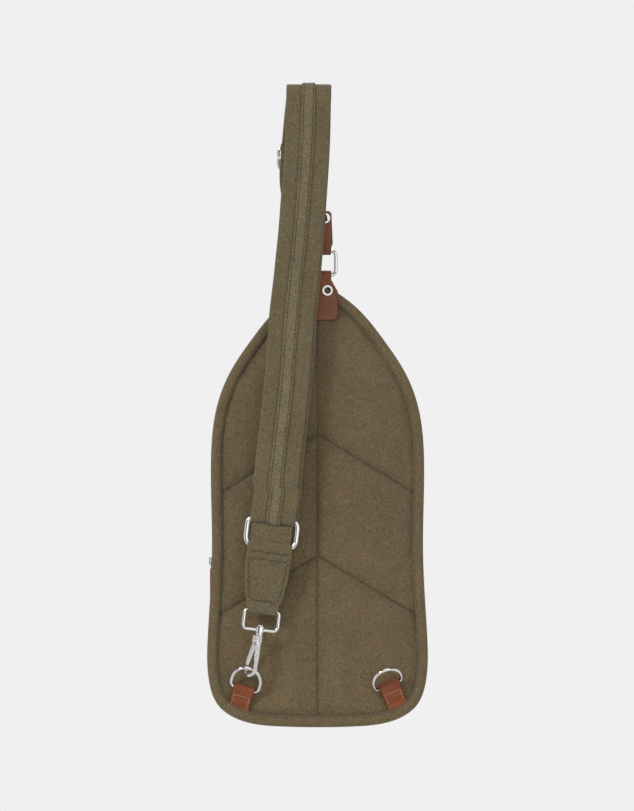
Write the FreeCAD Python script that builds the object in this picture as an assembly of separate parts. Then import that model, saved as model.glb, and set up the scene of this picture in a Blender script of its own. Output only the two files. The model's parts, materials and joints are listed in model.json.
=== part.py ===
"""Canvas sling bag, hanging from a peg by its folded strap.

Frame: millimetres, +Z up, origin on the axis of the peg that the strap hangs over.
-Y is the quilted back of the bag, +X is to the right when that side is seen.
Each sub-part is written to parts/NODE.step.
"""

import FreeCAD, Part

import math
import os

from FreeCAD import Vector

X_AXIS = Vector(1, 0, 0)
Y_AXIS = Vector(0, 1, 0)
Z_AXIS = Vector(0, 0, 1)
ORIGIN = Vector(0, 0, 0)
FAR = 400.0                    # longer than any cut has to reach
GAP = 0.05                     # between pieces that are sewn or glued face to face

# ---- driving dimensions -------------------------------------------------------------------
# bag body: half of the back panel's outline, from the point at the top to the middle of the base
OUTLINE = [(0, -159.4), (16.5, -166.0), (35.5, -181.1), (57.5, -208.2), (76.0, -237.4),
           (86.5, -268.0), (90.5, -310.8), (89.5, -386.2), (92.8, -456.6), (92.3, -493.8),
           (84.0, -517.4), (64.0, -530.5), (34.0, -535.2), (0, -536.0)]
TOP_Z = OUTLINE[0][1]
BASE_Z = OUTLINE[-1][1]
BACK_Y = 4.8                   # the back panel's outer face
TOP_DEPTH, BASE_DEPTH = 26.0, 68.0
COVER, FOAM, LINING = 1.2, 5.0, 0.8
BINDING_WIDTH, BINDING = 9.0, 1.6
GUSSET_INSET, GUSSET = 3.0, 2.0
FRONT_PANEL = 2.0
BASE_BOARD_Z = -508.0

# strap of 38 mm canvas, doubled between the slider and the oval ring
STRAP_WIDTH = 38.2
LAYER = 3.0                    # one folded canvas layer
STRIP_WIDTH, STRIP = 11.2, 1.2  # raised strip down the middle of the outer layer
PEG_RADIUS = 4.2
STRAP_LINE = [(-7.4, 0.0), (-10.3, -66.0), (-21.0, -181.6), (-37.4, -352.0)]  # x, z of its middle
STRAP_END_Z = -352.0
INNER_FACE = PEG_RADIUS
OUTER_FACE = INNER_FACE + LAYER + 0.1
STRIP_FACE = OUTER_FACE + LAYER
CHAIN_Y = -(INNER_FACE + OUTER_FACE + LAYER) / 2   # plane of the oval ring and the hook
FOLD_TRAVEL = 9.5              # degrees left free for the front run to swing

# The bag hangs with its middle of mass below the ring, so it leans, base towards -Y. The front
# run of the strap leans less, from the peg to the left D-ring that its hook is clipped to.
BAG_LEAN = 6.0
WALL_LIFT = math.tan(math.radians(BAG_LEAN))       # rise of the side walls towards the front
STRAP_LEAN = 4.6

# back run of the strap: y and z of its middle, and its x at three heights
BACK_RUN_Y = OUTER_FACE + LAYER / 2
UPPER_TAB_Y = 2.2
BACK_RUN = [(BACK_RUN_Y, 0.0), (BACK_RUN_Y, -68.0), (UPPER_TAB_Y, -98.0), (UPPER_TAB_Y, -118.0)]
BACK_LINE = [(-7.4, 0.0), (-12.5, -52.0), (-12.3, -81.0), (-8.0, -98.0), (-5.0, -118.0)]
SLIDER_Z, SLIDER_X = -52.0, -12.5
SLIDER_WIDTH, SLIDER_HEIGHT, SLIDER_WIRE, SLIDER_BAR = 43.8, 24.2, 2.5, 2.1

# leather tabs and the ring between them
TAB_LEATHER = 2.0
RING_WIRE, RING_WIDTH, RING_CORNER = 3.0, 34.0, 4.5
RING_LOOSE = 0.5               # between the ring and the lower tab, whose pivot is open
RING_TOP_Z, RING_BASE_Z = -131.0, -151.8
RING_Y = BACK_Y - GAP - TAB_LEATHER - RING_LOOSE - RING_WIRE / 2
TAB_NECK = 23.4
TAB_WIDTH = 34.6
LOWER_TAB_END_Z = -190.6
UPPER_TAB_END_Z = -97.4
EYELET_OUTER, EYELET_BORE, EYELET_LIP = 4.4, 2.9, 0.7
LOWER_EYELETS = (8.6, -165.0)
UPPER_EYELETS = (6.4, -103.4)

# tail: oval ring, canvas tab, swivel hook, all in one line that leans to the left
TAIL_LEAN = 6.8
TAIL_X, TAIL_Z = -38.7, -371.6
OVAL_WIRE, OVAL_WIDTH, OVAL_HEIGHT, OVAL_CORNER = 4.2, 42.6, 25.8, 8.0
TAIL_LAYER = 1.8
TAIL_CLEARANCE = 0.5
LOOP_WIRE, LOOP_WIDTH, LOOP_CORNER = 3.0, 29.3, 4.0
LOOP_TOP, LOOP_BASE = -66.0, -83.1
TAIL_HALF = [(19.0, -8.0), (19.0, -32.0), (16.4, -53.0), (13.4, -62.0), (11.8, -71.0)]
SHANK_RADIUS, SHANK_CLEARANCE = 1.6, 0.08
HOOK_TURN = 50.0               # how far the hook stands round from facing the viewer
HOOK_THICK, HOOK_BAR = 2.6, 2.8
HOOK_RADIUS = 6.2              # middle of the bar round the eye
HOOK_EYE_Z = -116.0
HOOK_TIP_RISE = 2.1
GATE_PIVOT = (3.4, -91.0)
GATE_END = (12.2, -113.1)
GATE_PIN = 0.8

# D-rings on leather loops at the two lower corners
D_WIRE, D_RADIUS, D_LEG, D_CORNER = 3.0, 12.25, 6.8, 4.0
D_LEATHER, D_LEATHER_WIDTH = 1.8, 18.0
D_BAR_Y = BACK_Y - GAP - D_LEATHER - 0.25 - D_WIRE / 2
LEFT_D = dict(x=-62.1, z=-504.0, lean=-16.5, lift=24.0, reach=19.5)
RIGHT_D = dict(x=60.6, z=-501.0, lean=23.3, lift=50.0, reach=22.5)

# zips
ZIP_TAPE, ZIP_TAPE_WIDTH = 0.9, 8.0
TEETH_WIDTH, TEETH_RISE = 3.4, 0.7
MAIN_ZIP_BACK = 17.0           # distance of the main zip's back edge behind the front face
MAIN_ZIP_LOW_Z = -430.0
MAIN_SLIDER_Z = -392.0
MAIN_SLIDER_CLEAR = 0.5        # further out than its own height needs, for the wall's curve
SLIDER_LENGTH, SLIDER_WIDE, SLIDER_RISE = 9.0, 6.5, 2.4   # of a zip slider
PULL_LENGTH, PULL_WIDTH, PULL_THICK = 30.0, 9.0, 2.2
POCKET_TOP_Z, POCKET_DEPTH, POCKET_WALL = -322.0, 15.0, 1.5
POCKET_ZIP_Z, POCKET_ZIP_HALF = -340.0, 62.0
POCKET_SLIDER_X = -50.0


# ---- helpers ------------------------------------------------------------------------------
def export(name, shape):
    """Writes one node. A group of separate solids may share it."""
    solids = shape.Solids
    bad = [s for s in solids if not s.isValid() or s.Volume <= 0]
    if bad or not solids:
        raise ValueError(name + " is not a valid solid")
    whole = solids[0] if len(solids) == 1 else Part.makeCompound(solids)
    whole.exportStep("parts/%s.step" % name)
    print("%-24s %2d solid(s) %10.1f mm3" % (name, len(solids), whole.Volume))


def moved(shape, turn_axis=Y_AXIS, degrees=0.0, offset=ORIGIN):
    copy = shape.copy()
    copy.rotate(ORIGIN, turn_axis, degrees)
    copy.translate(offset)
    return copy


def on_bag(shape):
    """Leans a piece of the bag about the ring's lower bar."""
    copy = shape.copy()
    copy.rotate(Vector(0, RING_Y, RING_BASE_Z), X_AXIS, -BAG_LEAN)
    return copy


def on_strap(shape):
    """Leans a piece of the strap's front run about the peg."""
    return moved(shape, X_AXIS, -STRAP_LEAN)


def block(x0, x1, y0, y1, z0, z1):
    return Part.makeBox(x1 - x0, y1 - y0, z1 - z0, Vector(x0, y0, z0))


def rod(radius, start, end):
    run = end - start
    return Part.makeCylinder(radius, run.Length, start, run)


def polygon(points):
    return Part.Face(Part.makePolygon(points + [points[0]]))


def yz_prism(points, x0, x1):
    """A solid from an outline in y and z, between two x."""
    face = polygon([Vector(x0, y, z) for y, z in points])
    return face.extrude(Vector(x1 - x0, 0, 0))


def xz_prism(points, y0, y1):
    """A solid from an outline in x and z, between two y."""
    face = polygon([Vector(x, y0, z) for x, z in points])
    return face.extrude(Vector(0, y1 - y0, 0))


def wire_loop(width, height, corner, wire):
    """A closed ring of round wire in the xz plane, centred on the origin."""
    w, h = width / 2, height / 2
    k = corner * (1 - math.sqrt(0.5))
    edges = []
    for sx, sz in ((1, 1), (-1, 1), (-1, -1), (1, -1)):
        a = Vector(sx * w, 0, sz * (h - corner))
        b = Vector(sx * (w - corner), 0, sz * h)
        if sx * sz < 0:
            a, b = b, a
        edges.append(Part.Arc(a, Vector(sx * (w - k), 0, sz * (h - k)), b).toShape())
        end = b
        start = {(1, 1): Vector(-(w - corner), 0, h), (-1, 1): Vector(-w, 0, -(h - corner)),
                 (-1, -1): Vector(w - corner, 0, -h), (1, -1): Vector(w, 0, h - corner)}[(sx, sz)]
        edges.append(Part.makeLine(end, start))
    path = Part.Wire(Part.__sortEdges__(edges))
    return swept(path, wire / 2)


def swept(path, radius):
    """A round bar along a path of tangent lines and arcs."""
    start = path.OrderedEdges[0]
    at = start.valueAt(start.FirstParameter)
    along = start.tangentAt(start.FirstParameter)
    profile = Part.Wire(Part.makeCircle(radius, at, along))
    return path.makePipeShell([profile], True, True)


def line_x(points, z):
    """x at a height along a middle line given as x, z points from the top down."""
    for (xa, za), (xb, zb) in zip(points, points[1:]):
        if z >= zb:
            return xa + (xb - xa) * (z - za) / (zb - za)
    return points[-1][0]


def ribbon_outline(points, width, z_top, z_low):
    """Outline in x and z of a ribbon of this width down a middle line."""
    heights = [z_top] + [z for _, z in points if z_low < z < z_top] + [z_low]
    right = [(line_x(points, z) + width / 2, z) for z in heights]
    left = [(line_x(points, z) - width / 2, z) for z in reversed(heights)]
    return right + left


def outline_points(inset):
    """The body's outline moved inwards, right side from the top to the base."""
    if inset == 0:
        return list(OUTLINE)
    result = []
    count = len(OUTLINE)
    for i, (x, z) in enumerate(OUTLINE):
        before = OUTLINE[i - 1] if i else (-OUTLINE[1][0], OUTLINE[1][1])
        after = OUTLINE[i + 1] if i + 1 < count else (-OUTLINE[-2][0], OUTLINE[-2][1])
        along = Vector(after[0] - before[0], 0, after[1] - before[1]).normalize()
        result.append((x + along.z * inset, z - along.x * inset))
    return result


def outline_face(inset, y):
    """The body's outline, moved inwards, as a face at this y."""
    half = outline_points(inset)
    points = half + [(-x, z) for x, z in reversed(half[1:-1])]
    curve = Part.BSplineCurve()
    curve.interpolate([Vector(x, y, z) for x, z in points], PeriodicFlag=True)
    return Part.Face(Part.Wire(curve.toShape()))


def slab(inset, y0, y1):
    return outline_face(inset, y0).extrude(Vector(0, y1 - y0, 0))


def level_slab(inset, y0, y1):
    """A slab behind the back panel whose sides run level while the bag leans."""
    lift = WALL_LIFT * (y0 - PANEL_BACK_Y)
    face = moved(outline_face(inset, y0), offset=Vector(0, 0, lift))
    return face.extrude(Vector(0, 1, WALL_LIFT) * (y1 - y0))


def ring_wall(inset, wall, y0, y1):
    return level_slab(inset, y0, y1).cut(level_slab(inset + wall, y0 - 1, y1 + 1))


def front_y(z):
    """The front panel's outer face at this height."""
    share = (TOP_Z - z) / (TOP_Z - BASE_Z)
    return BACK_Y + TOP_DEPTH + (BASE_DEPTH - TOP_DEPTH) * share


def front_band(near, far, z_top=TOP_Z + 20, z_low=BASE_Z - 20, half=FAR):
    """A slanted slab between two distances behind the front face (negative is in front)."""
    points = [(front_y(z_top) - far, z_top), (front_y(z_top) - near, z_top),
              (front_y(z_low) - near, z_low), (front_y(z_low) - far, z_low)]
    return yz_prism(points, -half, half)


FRONT_SLOPE = math.degrees(math.atan2(BASE_DEPTH - TOP_DEPTH, TOP_Z - BASE_Z))


# ---- bag body -----------------------------------------------------------------------------
def back_panel():
    face = BACK_Y
    export("back_panel_cover", on_bag(slab(BINDING + GAP, face, face + COVER)))
    export("back_panel_foam", on_bag(slab(BINDING + 3, face + COVER + GAP, face + COVER + FOAM)))
    lining_y = face + COVER + FOAM + GAP
    export("back_panel_lining", on_bag(slab(BINDING + GAP, lining_y, lining_y + LINING)))


PANEL_BACK_Y = BACK_Y + COVER + FOAM + GAP + LINING


def binding():
    """Canvas folded over the panel's edge, and a narrower one round the front panel."""
    edge = slab(0, BACK_Y - BINDING, PANEL_BACK_Y)
    edge = edge.cut(slab(BINDING, BACK_Y - GAP, PANEL_BACK_Y + 1))
    edge = edge.cut(slab(BINDING_WIDTH, BACK_Y - BINDING - 1, BACK_Y))
    for blank in (leather_blank(LEFT_D, 0.2), leather_blank(RIGHT_D, 0.2), lower_tab_blank(0.2)):
        edge = edge.cut(blank.common(block(-FAR, FAR, -FAR, BACK_Y - GAP, -2 * FAR, FAR)))
    export("back_binding", on_bag(edge))
    wall = ring_wall(0.6, GUSSET_INSET + 1.4, 0, 150)
    export("front_binding", on_bag(wall.common(front_band(-1.4, 0))))


def body_walls():
    start = PANEL_BACK_Y + GAP
    ring = ring_wall(GUSSET_INSET, GUSSET, start, 150)
    ring = ring.common(front_band(FRONT_PANEL + GAP, FAR))
    slot = front_band(MAIN_ZIP_BACK - ZIP_TAPE_WIDTH, MAIN_ZIP_BACK, z_low=MAIN_ZIP_LOW_Z)
    export("gusset", on_bag(ring.cut(slot)))
    tape = ring_wall(GUSSET_INSET + 0.8, ZIP_TAPE, start, 150)
    tape = tape.common(front_band(MAIN_ZIP_BACK - ZIP_TAPE_WIDTH + GAP, MAIN_ZIP_BACK - GAP,
                                  z_low=MAIN_ZIP_LOW_Z + GAP))
    export("main_zip_tape", on_bag(tape))
    middle = MAIN_ZIP_BACK - ZIP_TAPE_WIDTH / 2
    teeth = ring_wall(GUSSET_INSET + 0.8 - TEETH_RISE, TEETH_RISE - GAP, start, 150)
    teeth = teeth.common(front_band(middle - TEETH_WIDTH / 2, middle + TEETH_WIDTH / 2,
                                    z_low=MAIN_ZIP_LOW_Z + 4))
    export("main_zip_teeth", on_bag(teeth))
    lining = ring_wall(GUSSET_INSET + GUSSET + GAP, LINING, start, 150)
    keep_clear = front_band(MAIN_ZIP_BACK - ZIP_TAPE_WIDTH, MAIN_ZIP_BACK, z_low=MAIN_ZIP_LOW_Z)
    lining = lining.common(front_band(FRONT_PANEL + LINING + 2 * GAP, FAR)).cut(keep_clear)
    export("gusset_lining", on_bag(lining))
    front = level_slab(0.7, 0, 150).common(front_band(GAP, FRONT_PANEL))
    export("front_panel", on_bag(front))
    behind = level_slab(GUSSET_INSET + GUSSET + 0.2, 0, 150)
    export("front_lining", on_bag(behind.common(front_band(FRONT_PANEL + GAP, FRONT_PANEL + LINING))))
    inner = level_slab(GUSSET_INSET + GUSSET + LINING + 0.5, start + 1, 150)
    inner = inner.common(front_band(FRONT_PANEL + LINING + 1, FAR))
    board = inner.common(block(-60, 60, 0, 150, BASE_BOARD_Z - 2.4, BASE_BOARD_Z))
    export("base_board", on_bag(board))


def zip_slider(across=False):
    """Zip slider that faces -y over the zip's tape at y = TEETH_RISE.

    It runs along z, or along x if it is across. Its bridge always lets a pull hang down.
    """
    length, width, top = SLIDER_LENGTH, SLIDER_WIDE, -SLIDER_RISE
    body = block(-width / 2, width / 2, top, TEETH_RISE - 0.4, -length / 2, length / 2)
    body = body.makeFillet(0.7, [e for e in body.Edges if abs(e.tangentAt(0).y) > 0.9])
    channel = block(-TEETH_WIDTH / 2 - 0.5, TEETH_WIDTH / 2 + 0.5, -0.9, 2, -length, length)
    body = body.cut(channel)
    if across:
        body = moved(body, Y_AXIS, 90)
    bridge = block(-1.3, 1.3, top - 3.0, top + 0.2, -3.0, 3.0)
    eye = block(-2, 2, top - 1.9, top, -2.0, 2.0)
    return body.fuse(bridge).cut(eye).removeSplitter()


PULL_PIVOT = Vector(0, -SLIDER_RISE - 1.0, 1.2)


def zip_pull():
    """Pull hanging from the slider's bridge: a metal link and a leather tab."""
    drop = 11.0
    link = moved(wire_loop(4.6, drop, 1.8, 1.1), offset=PULL_PIVOT - Z_AXIS * drop / 2)
    low = PULL_PIVOT.z - drop                        # the link's lower bar, inside the tab
    y = PULL_PIVOT.y
    tab = block(-PULL_WIDTH / 2, PULL_WIDTH / 2, y - PULL_THICK / 2, y + PULL_THICK / 2,
                low - PULL_LENGTH, low + 3.2)
    tab = tab.makeFillet(2.0, [e for e in tab.Edges if abs(e.tangentAt(0).y) > 0.9])
    slot = block(-3.2, 3.2, y - 0.7, y + 0.7, low - 0.9, low + 9)
    return link, tab.cut(slot)


def pocket_zip_place(shape):
    """Puts a piece that faces -y on the pocket's zip, on the front of the bag."""
    shape = moved(moved(shape, Z_AXIS, 180), X_AXIS, FRONT_SLOPE)
    y = front_y(POCKET_ZIP_Z) + POCKET_DEPTH - 0.3 + TEETH_RISE
    return on_bag(moved(shape, offset=Vector(POCKET_SLIDER_X, y, POCKET_ZIP_Z)))


def main_zip_place(shape):
    """Puts a piece that faces -y on the main zip, on the left side wall."""
    shape = moved(moved(shape, Z_AXIS, -90), X_AXIS, FRONT_SLOPE)
    y = front_y(MAIN_SLIDER_Z) - MAIN_ZIP_BACK + ZIP_TAPE_WIDTH / 2
    x = -side_x(MAIN_SLIDER_Z, y) - TEETH_RISE - MAIN_SLIDER_CLEAR
    return on_bag(moved(shape, offset=Vector(x, y, MAIN_SLIDER_Z)))


def side_x(z, y):
    """How far the main zip's tape is from the bag's centre plane at this height and depth."""
    z -= WALL_LIFT * (y - PANEL_BACK_Y)
    cut = outline_face(GUSSET_INSET + 0.8, 0).common(block(0, FAR, -1, 1, z - 0.01, z))
    return cut.BoundBox.XMax


def main_zip():
    link, tab = zip_pull()
    for name, shape in (("slider", zip_slider()), ("link", link), ("pull", tab)):
        export("main_zip_" + name, main_zip_place(shape))


def front_pocket():
    shape = level_slab(7.0, 0, 200).common(front_band(-POCKET_DEPTH, -GAP, z_top=POCKET_TOP_Z))
    inside = level_slab(7.0 + POCKET_WALL, 0, 200)
    inside = inside.common(front_band(-POCKET_DEPTH + POCKET_WALL, 1,
                                      z_top=POCKET_TOP_Z - POCKET_WALL))
    slot_low, slot_top = POCKET_ZIP_Z - 4.5, POCKET_ZIP_Z + 4.5
    slot = block(-POCKET_ZIP_HALF, POCKET_ZIP_HALF, front_y(POCKET_ZIP_Z) + 5, 200,
                 slot_low, slot_top)
    export("pocket_shell", on_bag(shape.cut(inside).cut(slot)))
    face = -POCKET_DEPTH
    tape = front_band(face + 0.3, face + 0.3 + ZIP_TAPE, half=POCKET_ZIP_HALF - GAP,
                      z_top=slot_top - GAP, z_low=slot_low + GAP)
    export("pocket_zip_tape", on_bag(tape))
    teeth = front_band(face + 0.3 - TEETH_RISE, face + 0.3 - GAP, half=POCKET_ZIP_HALF - 3,
                       z_top=POCKET_ZIP_Z + TEETH_WIDTH / 2, z_low=POCKET_ZIP_Z - TEETH_WIDTH / 2)
    export("pocket_zip_teeth", on_bag(teeth))
    link, tab = zip_pull()
    for name, shape in (("slider", zip_slider(across=True)), ("link", link), ("pull", tab)):
        export("pocket_zip_" + name, pocket_zip_place(shape))


# ---- leather tabs, rings and eyelets ------------------------------------------------------
def eyelet_holes(x, z):
    return [rod(EYELET_BORE + 0.55, Vector(s * x, -40, z), Vector(s * x, 60, z)) for s in (1, -1)]


def eyelets(x, z, y0, y1):
    """A pair of eyelets whose lips clamp the layers between two y."""
    found = []
    for s in (1, -1):
        tube = rod(EYELET_BORE + 0.5, Vector(s * x, y0 - EYELET_LIP, z),
                   Vector(s * x, y1 + EYELET_LIP, z))
        lips = [rod(EYELET_OUTER, Vector(s * x, y, z), Vector(s * x, y + EYELET_LIP, z))
                for y in (y0 - EYELET_LIP, y1)]
        bore = rod(EYELET_BORE, Vector(s * x, -40, z), Vector(s * x, 60, z))
        found.append(tube.fuse(lips).cut(bore).removeSplitter())
    return Part.makeCompound(found)


def lower_tab_blank(extra=0.0):
    """The lower tab's outline as a thick slab, grown on every side."""
    neck, half, low = TAB_NECK / 2 + extra, TAB_WIDTH / 2 + extra, LOWER_TAB_END_Z - extra
    right = [(neck, RING_BASE_Z + 6), (neck, RING_BASE_Z - 4), (half, RING_BASE_Z - 14),
             (half, low + 3), (half - 3, low)]
    return xz_prism(right + [(-x, z) for x, z in reversed(right)], -40, 40)


def lower_tab():
    """Leather folded round the ring's lower bar, both legs on the back panel."""
    hole = RING_WIRE / 2 + RING_LOOSE
    outer = hole + TAB_LEATHER
    lap = BACK_Y - GAP - 2 * TAB_LEATHER
    bar = Vector(0, RING_Y, RING_BASE_Z)
    half = TAB_WIDTH / 2
    loop = rod(outer, bar - X_AXIS * half, bar + X_AXIS * half)
    legs = block(-half, half, lap, BACK_Y - GAP, LOWER_TAB_END_Z, RING_BASE_Z - 3)
    ramp = yz_prism([(RING_Y - outer, RING_BASE_Z), (BACK_Y - GAP, RING_BASE_Z),
                     (BACK_Y - GAP, RING_BASE_Z - 9), (lap, RING_BASE_Z - 9)], -half, half)
    shape = loop.fuse([legs, ramp])
    shape = shape.cut(rod(hole, bar - X_AXIS * FAR, bar + X_AXIS * FAR))
    shape = shape.common(lower_tab_blank())
    x, z = LOWER_EYELETS
    back_lip_y = BACK_Y - GAP - EYELET_LIP - 0.1
    seats = [rod(EYELET_OUTER + 0.05, Vector(s * x, back_lip_y, z), Vector(s * x, BACK_Y, z))
             for s in (1, -1)]
    export("lower_tab", on_bag(shape.cut(eyelet_holes(x, z) + seats)))
    export("lower_eyelets", on_bag(eyelets(x, z, lap, back_lip_y + 0.05)))


def upper_tab():
    """Leather folded round the ring's upper bar, with the strap's end between its legs."""
    hole = RING_WIRE / 2 + 0.25
    outer = hole + TAB_LEATHER
    bar = Vector(0, RING_Y, RING_TOP_Z)
    y0 = UPPER_TAB_Y - LAYER / 2 - GAP - TAB_LEATHER
    y1 = UPPER_TAB_Y + LAYER / 2 + GAP + TAB_LEATHER
    blank = 20.0
    loop = rod(outer, bar - X_AXIS * blank, bar + X_AXIS * blank)
    legs = block(-blank, blank, y0, y1, RING_TOP_Z + 9, UPPER_TAB_END_Z)
    ramp = yz_prism([(RING_Y - outer, RING_TOP_Z), (RING_Y + outer, RING_TOP_Z),
                     (y1, RING_TOP_Z + 9), (y0, RING_TOP_Z + 9)], -blank, blank)
    shape = loop.fuse([legs, ramp])
    shape = shape.cut(rod(hole, bar - X_AXIS * FAR, bar + X_AXIS * FAR))
    strap_slot = block(-FAR, FAR, UPPER_TAB_Y - LAYER / 2 - GAP, UPPER_TAB_Y + LAYER / 2 + GAP,
                       -118.6, 0)
    shape = shape.cut(strap_slot)
    neck = TAB_NECK / 2 - 0.2
    right, left, top = 13.0, -17.6, UPPER_TAB_END_Z
    plan = [(-neck, RING_TOP_Z - 6), (neck, RING_TOP_Z - 6), (neck, RING_TOP_Z + 2),
            (right, RING_TOP_Z + 6), (right - 1.1, top - 2), (right - 3, top),
            (left + 1, top), (left, RING_TOP_Z + 8), (-neck, RING_TOP_Z + 2)]
    shape = shape.common(xz_prism(plan, -40, 40))
    x, z = UPPER_EYELETS
    export("upper_tab", shape.cut(eyelet_holes(x, z)))
    export("upper_eyelets", eyelets(x, z, y0, y1))


def top_ring():
    centre = Vector(0, RING_Y, (RING_TOP_Z + RING_BASE_Z) / 2)
    ring = wire_loop(RING_WIDTH - RING_WIRE, RING_TOP_Z - RING_BASE_Z, RING_CORNER, RING_WIRE)
    export("top_ring", moved(ring, offset=centre))


# ---- strap --------------------------------------------------------------------------------
def half_ring(inner, outer, width, x):
    """The part of the fold over the peg, short of the front run by the swing's travel."""
    ring = rod(outer, Vector(x - width / 2, 0, 0), Vector(x + width / 2, 0, 0))
    ring = ring.cut(rod(inner, Vector(-FAR, 0, 0), Vector(FAR, 0, 0)))
    ring = ring.cut(block(-FAR, FAR, -FAR, FAR, -FAR, 0))
    reach = 60.0
    end = math.radians(FOLD_TRAVEL)
    wedge = yz_prism([(0, 0), (-reach, 0), (-reach, reach * math.tan(end))], -FAR, FAR)
    return ring.cut(wedge)


def back_profile(thick, offset):
    """Outline in y and z of a layer along the back run."""
    right = [(y + offset + thick / 2, z) for y, z in BACK_RUN]
    left = [(y + offset - thick / 2, z) for y, z in reversed(BACK_RUN)]
    return right + left


def strap_back():
    top = BACK_LINE[0][0]
    x, z = UPPER_EYELETS
    plan = xz_prism(ribbon_outline(BACK_LINE, STRAP_WIDTH, 0.0, -118.0), -60, 60)
    tail_plan = [(-40, 1), (40, 1), (40, -84), (11.2, -92), (11.0, -118), (-16.0, -118),
                 (-24.5, -92), (-40, -84)]
    narrow = xz_prism(tail_plan, -60, 60)
    run = yz_prism(back_profile(LAYER, 0), -60, 60).common(plan).common(narrow)
    over = half_ring(OUTER_FACE, OUTER_FACE + LAYER, STRAP_WIDTH, top)
    export("strap_back_outer", run.cut(eyelet_holes(x, z)).fuse(over).removeSplitter())
    strip_plan = xz_prism(ribbon_outline(BACK_LINE, STRIP_WIDTH, 0.0, -92.0), -60, 60)
    strip = yz_prism(back_profile(STRIP, (LAYER + STRIP) / 2 + GAP), -60, 60).common(strip_plan)
    slider_clear = block(-60, 60, STRIP_FACE - 0.1, 60, SLIDER_Z - 22, SLIDER_Z + 34)
    strip = strip.cut(slider_clear)
    over = half_ring(STRIP_FACE + GAP, STRIP_FACE + STRIP, STRIP_WIDTH, top)
    export("strap_back_strip", strip.fuse(over).removeSplitter())
    export("strap_fold_inner", half_ring(INNER_FACE, INNER_FACE + LAYER, STRAP_WIDTH, top))
    bottom = SLIDER_Z + 12.0
    plan = xz_prism(ribbon_outline(BACK_LINE, STRAP_WIDTH, -GAP, bottom), -60, 60)
    layer = block(-60, 60, INNER_FACE, INNER_FACE + LAYER - 0.3, bottom, -GAP)
    export("strap_back_inner", layer.common(plan))


def slider():
    """Strap adjuster: a frame behind the strap, a bar in front of it, and the sewn strap end."""
    frame_y = STRIP_FACE + 0.3 + SLIDER_WIRE / 2
    bar_y = OUTER_FACE - 0.25 - TAIL_LAYER - 0.25 - SLIDER_BAR / 2
    centre = Vector(SLIDER_X, frame_y, SLIDER_Z)
    w = SLIDER_WIDTH - SLIDER_WIRE
    frame = moved(wire_loop(w, SLIDER_HEIGHT - SLIDER_WIRE, 6.0, SLIDER_WIRE), offset=centre)
    ends = [Vector(SLIDER_X + s * w / 2, bar_y, SLIDER_Z) for s in (-1, 1)]
    bar = rod(SLIDER_BAR / 2, ends[0], ends[1])
    low = SLIDER_BAR / 2 + 0.2
    posts = [rod(SLIDER_BAR / 2 + 0.1, e - Y_AXIS * low, e + Y_AXIS * (frame_y - bar_y))
             for e in ends]
    export("slider_frame", frame.fuse([bar] + posts).removeSplitter())
    hole = SLIDER_BAR / 2 + 0.25
    outer = hole + TAIL_LAYER
    half = STRAP_WIDTH / 2 - 0.4
    start, end = Vector(SLIDER_X - half, bar_y, SLIDER_Z), Vector(SLIDER_X + half, bar_y, SLIDER_Z)
    loop = rod(outer, start, end)
    legs = block(SLIDER_X - half, SLIDER_X + half, INNER_FACE - 0.9, INNER_FACE + LAYER - 0.3,
                 SLIDER_Z, SLIDER_Z + 12.0 - GAP)
    shape = loop.fuse(legs).cut(rod(hole, start - X_AXIS * 9, end + X_AXIS * 9))
    export("slider_strap_end", shape.removeSplitter())


def tail_place(shape):
    """From the tail's own frame, centred on the oval ring, to the front run's."""
    return moved(shape, Y_AXIS, TAIL_LEAN, Vector(TAIL_X, CHAIN_Y, TAIL_Z))


def strap_front():
    """Front run: two canvas layers, the strip, and the loop round the oval ring's top bar."""
    plan = xz_prism(ribbon_outline(STRAP_LINE, STRAP_WIDTH, -GAP, STRAP_END_Z), -60, 60)
    for name, y0, y1 in (("strap_front_inner", -INNER_FACE - LAYER, -INNER_FACE),
                         ("strap_front_outer", -OUTER_FACE - LAYER, -OUTER_FACE)):
        export(name, on_strap(plan.common(block(-90, 60, y0, y1, -FAR, 1))))
    plan = xz_prism(ribbon_outline(STRAP_LINE, STRIP_WIDTH, -GAP, STRAP_END_Z), -60, 60)
    strip = block(-90, 60, -STRIP_FACE - STRIP, -STRIP_FACE - GAP, -FAR, 1)
    export("strap_front_strip", on_strap(plan.common(strip)))
    bar_z = OVAL_HEIGHT / 2
    outer = OVAL_WIRE / 2 + TAIL_CLEARANCE + LAYER
    half = STRAP_WIDTH / 2 - 0.6
    loop = rod(outer, Vector(-half, 0, bar_z), Vector(half, 0, bar_z))
    legs = block(-half, half, -outer + 0.6, outer - 0.6, bar_z, bar_z + 12)
    shape = loop.fuse(legs).cut(oval(2 * TAIL_CLEARANCE))
    shape = tail_place(shape).cut(block(-FAR, FAR, -FAR, FAR, STRAP_END_Z - GAP, 0))
    export("strap_end_loop", on_strap(shape))


# ---- tail: oval ring, canvas tab and swivel hook --------------------------------------------
def oval(extra=0.0):
    """The oval ring in the tail's frame, from thicker wire by extra."""
    return wire_loop(OVAL_WIDTH, OVAL_HEIGHT, OVAL_CORNER, OVAL_WIRE + extra)


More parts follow.
